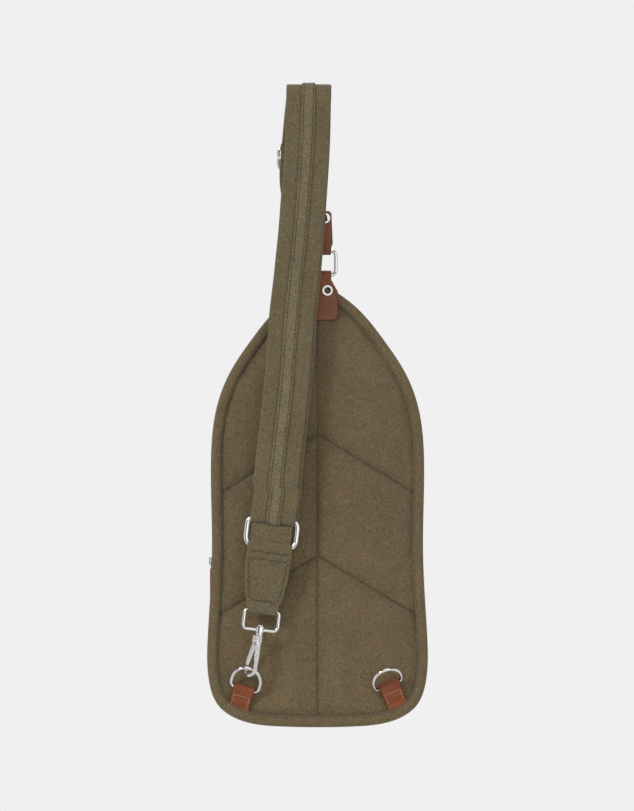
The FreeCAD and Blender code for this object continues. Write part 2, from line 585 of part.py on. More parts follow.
def tail_tab():
    """Canvas tab folded round the oval ring's lower bar and the hook loop's top bar."""
    top_bar, low_bar = -OVAL_HEIGHT / 2, LOOP_TOP
    top_outer = OVAL_WIRE / 2 + TAIL_CLEARANCE + TAIL_LAYER
    low_outer = LOOP_WIRE / 2 + TAIL_CLEARANCE + TAIL_LAYER
    width = 20.0
    rods = [rod(outer, Vector(-width, 0, z), Vector(width, 0, z))
            for outer, z in ((top_outer, top_bar), (low_outer, low_bar))]
    half = TAIL_LAYER + GAP
    right = [(top_outer, top_bar), (half, top_bar - 12), (half, low_bar + 8), (low_outer, low_bar)]
    legs = yz_prism(right + [(-y, z) for y, z in reversed(right)], -width, width)
    plan = TAIL_HALF + [(-x, z) for x, z in reversed(TAIL_HALF)]
    shape = rods[0].fuse([rods[1], legs]).common(xz_prism(plan, -20, 20))
    shape = shape.cut(oval(2 * TAIL_CLEARANCE)).cut(loop_frame(2 * TAIL_CLEARANCE))
    export("hook_tab", on_strap(tail_place(shape)))


def hook_place(shape):
    """From the hook's own frame (u, t, z about its shank) to where it hangs."""
    return on_strap(tail_place(moved(shape, Z_AXIS, 180.0 - HOOK_TURN)))


def loop_frame(extra=0.0):
    """The hook loop's wire frame in the tail's frame, from thicker wire by extra."""
    frame = wire_loop(LOOP_WIDTH, LOOP_TOP - LOOP_BASE, LOOP_CORNER, LOOP_WIRE + extra)
    return moved(frame, offset=Vector(0, 0, (LOOP_TOP + LOOP_BASE) / 2))


def hook_loop():
    boss = rod(3.7, Vector(0, 0, LOOP_BASE - 2.6), Vector(0, 0, LOOP_BASE + 2.6))
    bore = rod(SHANK_RADIUS + SHANK_CLEARANCE, Vector(0, 0, -FAR), Vector(0, 0, FAR))
    export("hook_loop", on_strap(tail_place(loop_frame().fuse(boss).cut(bore).removeSplitter())))


def hook_eye():
    """The bent bar round the eye, with its tip."""
    half, t = HOOK_BAR / 2, HOOK_THICK / 2
    centre = Vector(HOOK_RADIUS, 0, HOOK_EYE_Z)
    outer = rod(HOOK_RADIUS + half, centre - Y_AXIS * t, centre + Y_AXIS * t)
    inner = rod(HOOK_RADIUS - half, centre - Y_AXIS * 9, centre + Y_AXIS * 9)
    lower = block(-9, 30, -9, 9, HOOK_EYE_Z - 20, HOOK_EYE_Z)
    bend = outer.cut(inner).common(lower)
    tip = block(2 * HOOK_RADIUS - half, 2 * HOOK_RADIUS + half, -t, t,
                HOOK_EYE_Z, HOOK_EYE_Z + HOOK_TIP_RISE)
    return bend.fuse(tip)


def hook():
    half, t = HOOK_BAR / 2, HOOK_THICK / 2
    collar_z = LOOP_BASE - 2.6 - 0.3
    pin = rod(SHANK_RADIUS, Vector(0, 0, collar_z - 1), Vector(0, 0, LOOP_BASE + 3.4))
    rivet = rod(2.7, Vector(0, 0, LOOP_BASE + 2.8), Vector(0, 0, LOOP_BASE + 4.0))
    collar = rod(3.3, Vector(0, 0, collar_z - 2.0), Vector(0, 0, collar_z))
    pu, pz = GATE_PIVOT
    head = block(-half, pu + 2.2, -2.5, 2.5, pz - 2.6, collar_z - 1.9)
    leg = block(-half, half, -t, t, HOOK_EYE_Z, pz)
    slot = block(half + 0.3, 20, -1.55, 1.55, pz - 9, collar_z - 2.6)
    pin_hole = rod(GATE_PIN, Vector(pu, -9, pz), Vector(pu, 9, pz))
    body = pin.fuse([rivet, collar, head, leg, hook_eye()]).cut(slot).cut(pin_hole)
    export("hook_body", hook_place(body.removeSplitter()))
    export("gate_pin", hook_place(rod(GATE_PIN - 0.02, Vector(pu, -2.9, pz), Vector(pu, 2.9, pz))))
    coils = [rod(1.35, Vector(pu, y, pz), Vector(pu, y + 0.35, pz)) for y in (-1.42, 1.07)]
    spring = Part.makeCompound([c.cut(rod(GATE_PIN + 0.1, Vector(pu, -9, pz), Vector(pu, 9, pz)))
                                for c in coils])
    export("gate_spring", hook_place(spring))


def gate():
    """The sprung lever that closes the hook. Built upright, then leant to reach the tip."""
    pu, pz = GATE_PIVOT
    eu, ez = GATE_END
    length = math.hypot(eu - pu, ez - pz)
    lean = math.degrees(math.atan2(eu - pu, pz - ez))
    lever = block(-1.4, 1.4, -1.4, 1.4, -length, -2.4)
    knuckle = rod(1.4, Vector(0, -0.95, 0), Vector(0, 0.95, 0))
    neck = block(-1.2, 1.2, -0.95, 0.95, -3.0, 0)
    shape = lever.fuse([knuckle, neck]).cut(rod(GATE_PIN + 0.05, Vector(0, -9, 0), Vector(0, 9, 0)))
    shape = moved(shape.removeSplitter(), Y_AXIS, -lean, Vector(pu, 0, pz))
    export("hook_gate", hook_place(shape))


def oval_ring():
    export("oval_ring", on_strap(tail_place(oval())))


# ---- D-rings and their leather loops --------------------------------------------------------
def d_place(shape, d, lift=0.0):
    shape = moved(shape, X_AXIS, lift)
    return moved(shape, Y_AXIS, -d["lean"], Vector(d["x"], D_BAR_Y, d["z"]))


def leather_blank(d, extra=0.0):
    """The doubled leather below the ring's bar, as a plain block."""
    half = D_LEATHER_WIDTH / 2 + extra
    y1 = BACK_Y - GAP - D_BAR_Y
    return d_place(block(-half, half, y1 - 2 * D_LEATHER - extra, y1 + extra,
                         -d["reach"] - extra, -4), d)


def leather_loop(name, d):
    hole = D_WIRE / 2 + 0.25
    outer = hole + D_LEATHER
    half = D_LEATHER_WIDTH / 2
    y1 = BACK_Y - GAP - D_BAR_Y
    y0 = y1 - 2 * D_LEATHER
    loop = rod(outer, Vector(-half, 0, 0), Vector(half, 0, 0))
    ramp = yz_prism([(-outer, 0), (y1, 0), (y1, -9), (y0, -9)], -half, half)
    legs = block(-half, half, y0, y1, -d["reach"], -8)
    shape = loop.fuse([ramp, legs]).cut(rod(hole, Vector(-FAR, 0, 0), Vector(FAR, 0, 0)))
    export(name, on_bag(d_place(shape, d)))


def d_ring(name, d):
    """D-ring: a straight bar with round corners and a half circle, lifted off the panel."""
    r, c, wire = D_RADIUS, D_CORNER, D_WIRE / 2
    bar = rod(wire, Vector(c - r, 0, 0), Vector(r - c, 0, 0))
    arc = Part.makeTorus(r, wire, Vector(0, 0, D_LEG), Y_AXIS)
    pieces = [arc.common(block(-FAR, FAR, -FAR, FAR, D_LEG, FAR))]
    for s in (1, -1):
        middle = Vector(s * (r - c), 0, c)
        x0, x1 = sorted((middle.x, s * FAR))
        bend = Part.makeTorus(c, wire, middle, Y_AXIS)
        pieces.append(bend.common(block(x0, x1, -FAR, FAR, -FAR, c)))
        pieces.append(rod(wire, Vector(s * r, 0, c), Vector(s * r, 0, D_LEG)))
    ring = bar.fuse(pieces).removeSplitter()
    export(name, on_bag(d_place(ring, d, d["lift"])))


def main():
    os.makedirs("parts", exist_ok=True)
    back_panel()
    binding()
    body_walls()
    main_zip()
    front_pocket()
    lower_tab()
    upper_tab()
    top_ring()
    strap_back()
    slider()
    strap_front()
    oval_ring()
    tail_tab()
    hook_loop()
    hook()
    gate()
    for side, d in (("left", LEFT_D), ("right", RIGHT_D)):
        leather_loop(side + "_leather_loop", d)
        d_ring(side + "_d_ring", d)


main()
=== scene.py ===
import json
import math

import bmesh
import bpy
import numpy as np
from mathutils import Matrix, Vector, noise


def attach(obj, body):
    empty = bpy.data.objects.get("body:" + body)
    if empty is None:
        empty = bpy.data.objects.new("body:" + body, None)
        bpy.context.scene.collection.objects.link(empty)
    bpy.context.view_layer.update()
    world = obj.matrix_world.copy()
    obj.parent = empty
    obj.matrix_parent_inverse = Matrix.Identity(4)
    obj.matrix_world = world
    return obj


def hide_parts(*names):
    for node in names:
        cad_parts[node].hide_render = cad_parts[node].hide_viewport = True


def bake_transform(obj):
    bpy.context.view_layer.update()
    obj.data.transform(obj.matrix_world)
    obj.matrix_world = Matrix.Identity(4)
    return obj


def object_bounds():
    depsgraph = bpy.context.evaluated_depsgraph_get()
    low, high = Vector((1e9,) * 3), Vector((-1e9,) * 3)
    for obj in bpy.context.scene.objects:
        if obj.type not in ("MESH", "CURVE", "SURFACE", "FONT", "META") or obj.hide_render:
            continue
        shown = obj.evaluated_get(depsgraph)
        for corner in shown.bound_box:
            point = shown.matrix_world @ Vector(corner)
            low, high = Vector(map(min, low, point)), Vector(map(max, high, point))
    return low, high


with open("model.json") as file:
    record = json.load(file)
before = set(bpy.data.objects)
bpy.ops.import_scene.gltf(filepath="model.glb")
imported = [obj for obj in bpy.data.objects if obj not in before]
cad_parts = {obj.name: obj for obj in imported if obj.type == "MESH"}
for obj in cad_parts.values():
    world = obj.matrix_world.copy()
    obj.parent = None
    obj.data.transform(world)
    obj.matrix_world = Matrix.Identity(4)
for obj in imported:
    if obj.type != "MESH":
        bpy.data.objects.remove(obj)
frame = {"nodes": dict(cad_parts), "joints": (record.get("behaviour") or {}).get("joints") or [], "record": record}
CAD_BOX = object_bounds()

# Looks of the canvas sling bag. Lengths are millimetres until a mesh is made, then metres.
# Axes are the CAD frame's: +Z up, -Y the quilted back, origin on the peg under the strap's fold.
MM = 0.001
FAR = 1000.0                   # beyond the bag
JOINTS = {j["name"]: j for j in frame["joints"]}
NODES = frame["nodes"]

# ---- the bag's shape, as in the CAD frame
OUTLINE = [(0, -159.4), (16.5, -166.0), (35.5, -181.1), (57.5, -208.2), (76.0, -237.4),
           (86.5, -268.0), (90.5, -310.8), (89.5, -386.2), (92.8, -456.6), (92.3, -493.8),
           (84.0, -517.4), (64.0, -530.5), (34.0, -535.2), (0, -536.0)]
TOP_Z, BASE_Z = OUTLINE[0][1], OUTLINE[-1][1]
BACK_Y = 4.8
PANEL_BACK_Y = 11.85
TOP_DEPTH, BASE_DEPTH = 26.0, 68.0
FRONT_SLOPE = math.degrees(math.atan2(BASE_DEPTH - TOP_DEPTH, TOP_Z - BASE_Z))
BINDING_WIDTH = 9.0
ZIP_BACK, ZIP_WIDTH, ZIP_LOW_Z = 17.0, 8.0, -430.0
POCKET_INSET, POCKET_TOP_Z, POCKET_DEPTH = 7.0, -322.0, 15.0
POCKET_ZIP_Z, POCKET_ZIP_HALF = -340.0, 62.0
POCKET_CORNER, POCKET_ROUNDING = 9.0, 7.0

# quilting: middle and end heights of the two chevron seams
CHEVRONS = [(-286.9, -341.0), (-390.6, -443.6)]
SPINE_TOP_Z, SPINE_LOW_Z = -196.0, -500.0
PUFF = 3.0                     # how far the padding stands out between seams
SEAM_DEPTH = 1.0
SEAM_REACH = 88.0              # x at which the chevron seams meet the binding
FOAM_Y = BACK_Y + 1.25         # the padding's outer face

# strap
STRAP_WIDTH, LAYER = 38.2, 3.0
STRIP_WIDTH, STRIP = 11.2, 1.2
OUTER_R, INNER_R = 8.8, 5.7    # middle of each layer, from the peg's axis
FOLD_X = -7.4                  # middle of the strap on the peg
FRONT_LOW_Z = -334.0           # where the front run turns round the oval ring's bar
TAPERED_WIDTH = 31.0           # the strap's width in the upper tab
STRAP_LINE = [(FOLD_X, 0.0), (-8.0, -24.0), (-10.3, -66.0), (-15.6, -130.0), (-21.2, -181.6),
              (-26.4, -248.0), (-33.4, -310.0), (-37.4, -352.0)]
BACK_RUN = [(8.8, 0.0), (8.8, -66.0), (7.6, -77.0), (3.4, -91.0), (2.2, -98.0), (2.2, -118.0)]
BACK_LINE = [(FOLD_X, 0.0), (-12.5, -52.0), (-12.3, -81.0), (-8.0, -98.0), (-5.0, -118.0)]
TAIL_LEAN, TAIL_X, TAIL_Z = 6.8, -38.7, -371.6
CHAIN_Y = -7.25
OVAL_TOP = 12.9                # the oval ring's top bar, above the tail's origin
WRAP_R = 4.1                   # middle of the strap round that bar

PIVOT_Y, PIVOT_Z = (c / MM for c in JOINTS["bag_swing"]["pos_m"][1:])


def slope(joint):
    """Angle in the YZ plane of a joint's axis from straight down, base towards -Y."""
    _, y, z = JOINTS[joint]["axis"]
    return math.degrees(math.atan2(-y, -z))


STRAP_LEAN = slope("hook_swivel")
BAG_LEAN = slope("main_zip_slide") + FRONT_SLOPE
WALL_LIFT = math.tan(math.radians(BAG_LEAN))


# ---- places
def spun(points, first, second, degrees):
    """Points turned about the origin, from the first of two axes towards the second."""
    a = math.radians(degrees)
    p = np.array(points, float)
    u, v = p[..., first].copy(), p[..., second].copy()
    p[..., first] = u * math.cos(a) - v * math.sin(a)
    p[..., second] = u * math.sin(a) + v * math.cos(a)
    return p


def leant(points, degrees, y=0.0, z=0.0):
    """Points turned about the X axis through y, z so that what hangs below goes towards -Y."""
    return spun(np.subtract(points, (0, y, z)), 1, 2, -degrees) + (0, y, z)


def turned(points, degrees, offset):
    """Points turned about the Y axis, then moved."""
    return spun(points, 2, 0, degrees) + offset


def on_bag(points):
    return leant(points, BAG_LEAN, PIVOT_Y, PIVOT_Z)


def bag_way(directions):
    """Directions turned as the bag leans."""
    return on_bag(directions) - on_bag(0 * directions)


BAG_OUT = bag_way(np.array([0.0, -1.0, 0.0]))


def on_body(points):
    """Pieces behind the back panel, whose walls run level while the bag leans."""
    p = np.array(points, float)
    p[..., 2] += WALL_LIFT * np.maximum(p[..., 1] - PANEL_BACK_Y, 0)
    return on_bag(p)


def lowered(z, y):
    """The height that on_body lifts to z at this depth."""
    return z - WALL_LIFT * (y - PANEL_BACK_Y)


def body_front_y(z):
    """The front panel's outer face, for the height before on_body lifts it."""
    k = WALL_LIFT * (BASE_DEPTH - TOP_DEPTH) / (TOP_Z - BASE_Z)
    return (front_y(z) + k * PANEL_BACK_Y) / (1 + k)


def on_strap(points):
    return leant(points, STRAP_LEAN)


def on_tail(points):
    return on_strap(turned(points, TAIL_LEAN, (TAIL_X, CHAIN_Y, TAIL_Z)))


def front_y(z):
    """The front panel's outer face at this height."""
    return BACK_Y + TOP_DEPTH + (BASE_DEPTH - TOP_DEPTH) * (TOP_Z - z) / (TOP_Z - BASE_Z)


def with_y(flat, y):
    """Points from their x, z pairs and their y."""
    return np.stack([flat[..., 0], np.broadcast_to(y, flat.shape[:-1]), flat[..., 1]], axis=-1)


# ---- curves
def run_along(points):
    """Distance along a line at each of its points."""
    return np.concatenate([[0], np.cumsum(np.linalg.norm(np.diff(points, axis=0), axis=1))])


def read_at(where, run, rows):
    """Rows of values read at these distances along their line."""
    return np.stack([np.interp(where, run, column) for column in rows.T], axis=-1)


def spline(points, closed=False):
    """A smooth curve through points: returns a function of distance along it, and its length."""
    p = np.array(points, float)
    if closed:
        p = np.vstack([p, p[:1]])
    t = run_along(p)
    h, n = np.diff(t), len(p)
    a, b = np.eye(n), np.zeros_like(p)
    d = np.diff(p, axis=0) / h[:, None]
    for i in range(1, n - 1):
        a[i, i - 1:i + 2] = h[i], 2 * (h[i - 1] + h[i]), h[i - 1]
        b[i] = 3 * (h[i] * d[i - 1] + h[i - 1] * d[i])
    if closed:
        a[0] = 0
        a[0, 0], a[0, 1], a[0, n - 2] = 2 * (h[-1] + h[0]), h[-1], h[0]
        b[0] = 3 * (h[0] * d[-1] + h[-1] * d[0])
        a[n - 1, 0], a[n - 1, n - 1] = -1, 1
    else:
        b[0], b[-1] = d[0], d[-1]
    m = np.linalg.solve(a, b)

    def at(s):
        s = np.clip(np.asarray(s, float), 0, t[-1])
        i = np.clip(np.searchsorted(t, s, side="right") - 1, 0, n - 2)
        u = ((s - t[i]) / h[i])[..., None]
        k = h[i][..., None]
        return ((1 + 2 * u) * (1 - u) ** 2 * p[i] + u * (1 - u) ** 2 * k * m[i]
                + u * u * (3 - 2 * u) * p[i + 1] + u * u * (u - 1) * k * m[i + 1])

    return at, t[-1]


def even(points, step):
    """The smooth open curve through points, resampled at about this step."""
    at, length = spline(points)
    fine = at(np.linspace(0, length, 2000))
    run = run_along(fine)
    return read_at(np.linspace(0, run[-1], max(2, round(run[-1] / step) + 1)), run, fine)


def right_outline(inset=0.0, count=1600):
    """x, z and inward normal down the right half of the outline, from apex to base."""
    mirrored = [(-x, z) for x, z in reversed(OUTLINE[1:-1])]
    at, length = spline(OUTLINE + mirrored, closed=True)
    p = at(np.linspace(0, length / 2, count))
    t = np.gradient(p, axis=0)
    t /= np.linalg.norm(t, axis=1)[:, None]
    normal = np.stack([t[:, 1], -t[:, 0]], axis=1)
    normal[0], normal[-1] = (0, -1), (0, 1)
    q = p + normal * inset
    q[0, 0] = q[-1, 0] = 0.0
    return q, normal


def resampled(points, marks):
    """Points at these shares of a polyline's length."""
    points = np.asarray(points, float)
    run = run_along(points)
    return read_at(np.asarray(marks) * run[-1], run, points)


def shares(count, endpoint=True):
    return np.linspace(0, 1, count, endpoint=endpoint)


def bumps(points, size, seed=0.0):
    """Smooth noise from -1 to 1 over points, with features of about this size."""
    flat = np.asarray(points, float).reshape(-1, 3) / size + seed * 17.3
    return np.array([noise.noise(Vector(p)) for p in flat]).reshape(np.shape(points)[:-1])


def rise(x):
    """0 below 0, 1 above 1, and smooth between."""
    x = np.clip(x, 0, 1)
    return x * x * (3 - 2 * x)


def dip(x, width):
    """1 at 0, falling smoothly to nothing a few widths away."""
    return np.exp(-(x / width) ** 2)


# ---- meshes
def linked(name, data):
    """A new object in the scene."""
    obj = bpy.data.objects.new(name, data)
    bpy.context.scene.collection.objects.link(obj)
    return obj


def paint(obj, name, values):
    """Sets a value for each point, or one for all, that the materials read."""
    mesh = obj.data
    level = mesh.attributes.get(name) or mesh.attributes.new(name, "FLOAT", "POINT")
    values = np.broadcast_to(np.ravel(values), (len(mesh.vertices),))
    level.data.foreach_set("value", values.astype(np.float32))


def new_mesh(name, points, faces, face_uv=None, shade=1.0):
    """A smooth object from points in millimetres, UVs in metres and a shade for each point."""
    mesh = bpy.data.meshes.new(name)
    mesh.from_pydata((np.asarray(points, float).reshape(-1, 3) * MM).tolist(), [], faces)
    if face_uv is not None:
        layer = mesh.uv_layers.new(name="cloth")
        layer.data.foreach_set("uv", (np.asarray(face_uv, float) * MM).astype(np.float32).ravel())
    mesh.shade_smooth()
    obj = linked(name, mesh)
    paint(obj, "shade", shade)
    return obj


def loft(name, rings, closed=False, shade=1.0):
    """A tube of quads through rings of points, with flat ends unless it closes on itself."""
    rings = np.asarray(rings, float)
    s, p = rings.shape[:2]
    around = np.linalg.norm(np.roll(rings, -1, axis=1) - rings, axis=2).mean(0)
    u = np.concatenate([[0], np.cumsum(around)])
    centre = rings.mean(1)
    v = run_along(np.vstack([centre, centre[:1]]))
    faces, uv = [], []
    for i in range(s if closed else s - 1):
        j = (i + 1) % s
        for k in range(p):
            m = (k + 1) % p
            faces.append((i * p + k, i * p + m, j * p + m, j * p + k))
            uv += [(u[k], v[i]), (u[k + 1], v[i]), (u[k + 1], v[i + 1]), (u[k], v[i + 1])]
    if not closed:
        for i, order in ((0, range(p - 1, -1, -1)), (s - 1, range(p))):
            faces.append(tuple(i * p + k for k in order))
            uv += [(u[k], v[i]) for k in order]
    obj = new_mesh(name, rings, faces, uv, shade)
    turn_outwards(obj)
    return obj


def in_bmesh(obj, change):
    bm = bmesh.new()
    bm.from_mesh(obj.data)
    change(bm)
    bm.to_mesh(obj.data)
    bm.free()


def turn_outwards(obj):
    in_bmesh(obj, lambda bm: bmesh.ops.recalc_face_normals(bm, faces=bm.faces))


def modified(obj, kind, **settings):
    """Applies a modifier with these settings."""
    modifier = obj.modifiers.new(kind.lower(), kind)
    for key, value in settings.items():
        setattr(modifier, key, value)
    graph = bpy.context.evaluated_depsgraph_get()
    mesh = bpy.data.meshes.new_from_object(obj.evaluated_get(graph))
    obj.modifiers.clear()
    obj.data = mesh
    mesh.shade_smooth()


def read(mesh, what):
    values = np.zeros(len(mesh.vertices) * 3, np.float32)
    mesh.vertices.foreach_get(what, values)
    return values.reshape(-1, 3).astype(float)


def coordinates(obj):
    return read(obj.data, "co") / MM


def set_coordinates(obj, points):
    obj.data.vertices.foreach_set("co", (np.asarray(points) * MM).astype(np.float32).ravel())
    obj.data.update()


def flat_uv(obj):
    """UVs in metres, seen along Y."""
    mesh = obj.data
    layer = mesh.uv_layers.get("cloth") or mesh.uv_layers.new(name="cloth")
    index = np.zeros(len(mesh.loops), np.int32)
    mesh.loops.foreach_get("vertex_index", index)
    layer.data.foreach_set("uv", read(mesh, "co")[index][:, [0, 2]].astype(np.float32).ravel())


def band_profile(width, thick, across=14, bulge=0.0):
    """Outline of a folded band's section: width along the first axis, rounded sides."""
    r = thick / 2
    x = np.linspace(-1, 1, across)
    flat = x * (width / 2 - r)
    crown = bulge * (1 - x * x)
    ends = np.radians(np.linspace(90, -90, 7)[1:-1])
    right = np.stack([width / 2 - r + r * np.cos(ends), r * np.sin(ends)], axis=1)
    top = np.stack([flat, r + crown], axis=1)
    low = np.stack([flat[::-1], np.full(across, -r)], axis=1)
    return np.vstack([top, right, low, -right])


def band_rings(centres, wides, normals, profile, taper=1.0):
    """A profile at each station of a path."""
    return (centres[:, None] + wides[:, None] * (profile[None, :, :1] * taper)
            + normals[:, None] * profile[None, :, 1:])


def swept(name, centres, wides, normals, profile, wave=0.0, seed=0.0):
    """A profile carried along a path. wave is how far its skin wanders."""
    rings = band_rings(centres, wides, normals, profile)
    if wave:
        rings = rings + normals[:, None] * (wave * bumps(rings, 16.0, seed))[..., None]
    return loft(name, rings)


def frames(centres, wide):
    """Outward normals of a band along a path whose width runs along wide."""
    t = np.gradient(centres, axis=0)
    t /= np.linalg.norm(t, axis=1)[:, None]
    normals = np.cross(t, wide)
    return normals / np.linalg.norm(normals, axis=1)[:, None]


# ---- nodes for materials
class Wire:
    """A value in a material's nodes. Sums and products of it are math nodes."""

    def __init__(self, tree, socket):
        self.tree, self.socket = tree, socket

    def calc(self, operation, other=0.0):
        return node(self.tree, "Math", {0: self, 1: other}, operation=operation)

    def __add__(self, other):
        return self.calc("ADD", other)

    def __mul__(self, other):
        return self.calc("MULTIPLY", other)


def plug(socket, value):
    if isinstance(value, Wire):
        value.tree.links.new(value.socket, socket)
    else:
        socket.default_value = value


def node(tree, kind, inputs, output=0, **settings):
    """Adds a node and returns one of its outputs."""
    n = tree.nodes.new("ShaderNode" + kind)
    for key, value in settings.items():
        setattr(n, key, value)
    for key, value in inputs.items():
        plug(n.inputs[key], value)
    return Wire(tree, n.outputs[output])


def new_material(name, **sockets):
    """A material, its shader's sockets, with these values on them, and the object's place."""
    material = bpy.data.materials.new(name)
    material.use_nodes = True
    tree = material.node_tree
    shader = tree.nodes["Principled BSDF"].inputs
    for key, value in sockets.items():
        shader[key.replace("_", " ")].default_value = value
    return material, shader, node(tree, "TexCoord", {}, "Object")


def noise_at(place, size, detail, spread):
    """Noise centred on zero, with features of this size in metres, times spread."""
    inputs = {"Vector": place, "Scale": 1.0 / size, "Detail": detail}
    return (node(place.tree, "TexNoise", inputs, "Fac") + -0.5) * spread


def vector(x, y, z):
    return node(x.tree, "CombineXYZ", {0: x, 1: y, 2: z})


def scaled_colour(colour, factor):
    return node(factor.tree, "VectorMath", {0: colour, "Scale": factor}, operation="SCALE")


def mixed(factor, a, b):
    return node(factor.tree, "Mix", {"Factor": factor, "A": a, "B": b}, "Result",
                data_type="RGBA")


def bumped(shader, height, distance, strength=1.0):
    inputs = {"Strength": strength, "Distance": distance, "Height": height}
    plug(shader["Normal"], node(height.tree, "Bump", inputs, "Normal"))


def painted(tree, name):
    """What paint has set on the mesh."""
    return node(tree, "Attribute", {}, "Fac", attribute_name=name)


def canvas(name, colour, thread=0.00062, contrast=1.0):
    """Plain woven cotton: threads, slubs, speckle, faded patches, painted shade in the weave's gaps, and the
    painted shade and tone that the mesh carries.
    """
    material, shader, place = new_material(name, Roughness=0.92, Specular_IOR_Level=0.18,
                                           Sheen_Weight=0.22, Sheen_Roughness=0.6)
    uv = node(place.tree, "UVMap", {}, uv_map="cloth")
    u, v = (node(uv.tree, "SeparateXYZ", {0: uv}, axis) * (math.pi / thread) for axis in "XY")
    cross = u.calc("SINE") * v.calc("SINE")
    lump = cross.calc("ABSOLUTE").calc("POWER", 0.5)
    warp = noise_at(vector(u, v * 0.2, 0.0), 3.2, 1.0, 0.5 * contrast)
    weft = noise_at(vector(u * 0.2, v, 7.0), 3.2, 1.0, 0.5 * contrast)
    speckle = noise_at(place, 0.0013, 2.0, 1.7 * contrast)
    patch = noise_at(place, 0.03, 4.0, 0.3)
    over = cross.calc("SIGN") * (0.05 * contrast)
    # painted shade: lighter on the thread crowns and darker in the gaps between threads, by the weave's height
    weave_gap_shade = lump * (0.35 * contrast)
    level = warp + weft + speckle + patch + over + weave_gap_shade + (1.0 - 0.2 * contrast)
    # the mesh's shade attribute adds painted shade at seams, creases and edges, and some random tone
    level = level.calc("MAXIMUM", 0.15) * painted(place.tree, "shade")
    warm = [c * k for c, k in zip(colour, (1.06, 0.97, 0.86))]
    cool = [c * k for c, k in zip(colour, (0.95, 1.02, 1.08))]
    tint = mixed(noise_at(place, 0.012, 3.0, 1.6) + 0.5, (*warm, 1), (*cool, 1))
    plug(shader["Base Color"], scaled_colour(tint, level))
    bumped(shader, lump + speckle, 0.00016)
    return material


def leather(name, colour):
    """Vegetable tanned leather: pebbled grain, pores, darker painted edges, handling wear."""
    material, shader, place = new_material(name, Specular_IOR_Level=0.42)
    grain = node(place.tree, "TexVoronoi", {"Vector": place, "Scale": 1 / 0.0011}, "Distance",
                 feature="SMOOTH_F1")
    fine = noise_at(place, 0.0005, 3.0, 1.0)
    cloud = noise_at(place, 0.009, 5.0, 0.9)
    level = cloud + grain * -0.35 + fine * 0.3 + 1.12
    worn = scaled_colour(colour, level * painted(place.tree, "shade"))
    edge = mixed(painted(place.tree, "edge"), worn, (0.03, 0.012, 0.008, 1))
    plug(shader["Base Color"], edge)
    plug(shader["Roughness"], cloud * 0.25 + 0.46)
    bumped(shader, grain * -1.0 + fine * 0.5, 0.00012, 0.8)
    return material


def metal(name, colour, roughness):
    """Nickel plate with faint polishing marks and smudges."""
    material, shader, place = new_material(name, Metallic=1.0, Base_Color=(*colour, 1))
    smudge, mark = noise_at(place, 0.006, 4.0, 0.08), noise_at(place, 0.0004, 2.0, 0.08)
    plug(shader["Roughness"], smudge + mark + roughness)
    shade = noise_at(place, 0.01, 3.0, 0.16) + 1.0
    plug(shader["Base Color"], scaled_colour(colour, shade))
    bumped(shader, noise_at(place, 0.0012, 3.0, 1.0), 0.00002, 0.6)
    return material


def mottled(name, colour, fine, coarse, bump, **sockets):
    """A matt surface. fine and coarse are (size, detail, spread), bump (distance, strength)."""
    material, shader, place = new_material(name, **sockets)
    grain = noise_at(place, *fine)
    plug(shader["Base Color"], scaled_colour(colour, grain + noise_at(place, *coarse) + 1.0))
    bumped(shader, grain, *bump)
    return material


def thread(name, colour):
    """Twisted sewing thread."""
    return mottled(name, colour, (0.0003, 1.0, 0.9), (0.004, 2.0, 0.5), (0.0001, 0.7),
                   Roughness=0.75, Sheen_Weight=0.2)


def grainy(name, colour, size, spread, roughness, depth):
    """Foam, board or lining."""
    return mottled(name, colour, (size, 3.0, spread), (size * 20, 3.0, 0.3), (depth, 1.0),
                   Roughness=roughness)


M = {
    "canvas": canvas("olive_canvas", (0.174, 0.126, 0.063)),
    "strap": canvas("strap_canvas", (0.166, 0.129, 0.067)),
    "strip": canvas("strip_canvas", (0.204, 0.163, 0.090)),
    "binding": canvas("binding_canvas", (0.158, 0.115, 0.056)),
    "tape": canvas("zip_tape_twill", (0.075, 0.058, 0.032), thread=0.0009, contrast=0.6),
    "lining": grainy("lining_cotton", (0.33, 0.27, 0.18), 0.0008, 0.5, 0.9, 0.0001),
    "foam": grainy("foam_grey", (0.12, 0.12, 0.12), 0.0015, 0.9, 0.95, 0.0004),
    "board": grainy("grey_board", (0.2, 0.17, 0.13), 0.002, 0.5, 0.8, 0.0001),
    "tab_leather": leather("tab_leather", (0.240, 0.074, 0.030)),
    "loop_leather": leather("loop_leather", (0.245, 0.058, 0.015)),
    "nickel": metal("polished_nickel", (0.80, 0.79, 0.77), 0.10),
    "dark_nickel": metal("zip_nickel", (0.45, 0.42, 0.36), 0.28),
    "steel": metal("spring_steel", (0.5, 0.5, 0.5), 0.35),
    "quilt_thread": thread("quilt_thread", (0.046, 0.044, 0.028)),
    "strip_thread": thread("strip_thread", (0.026, 0.027, 0.016)),
    "tan_thread": thread("tan_thread", (0.40, 0.17, 0.06)),
    "cream_thread": thread("cream_thread", (0.55, 0.42, 0.27)),
}


def dress(obj, material, slot, body=None, nodes=()):
    """Gives a piece its material, its body unless it blends, and hides the CAD nodes it replaces. slot is not
    used.
    """
    obj.data.materials.clear()
    obj.data.materials.append(M[material])
    if body:
        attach(obj, body)
    if nodes:
        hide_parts(*nodes)
    return obj


# ---- stitches
def stitch_form(length, radius):
    """Rings of one stitch: a thread that rises from the cloth, lies on it, and dives back."""
    angles = np.radians(np.arange(0, 360, 60))
    rings = []
    for a in np.linspace(-1, 1, 7):
        r = radius * (1 - 0.35 * a ** 4)
        lift = radius * (0.55 - 1.5 * a ** 6)
        rings.append([(a * length / 2, r * math.cos(t), lift + r * math.sin(t)) for t in angles])
    return np.array(rings)


def copies(name, form, faces, frames):
    """One object with a copy of a form on each frame: its place and three directions."""
    points = [place + form[:, :1] * x + form[:, 1:2] * y + form[:, 2:] * z
              for place, x, y, z in frames]
    faces = [tuple(i * len(form) + k for k in f) for i in range(len(frames)) for f in faces]
    return new_mesh(name, np.vstack(points), faces)


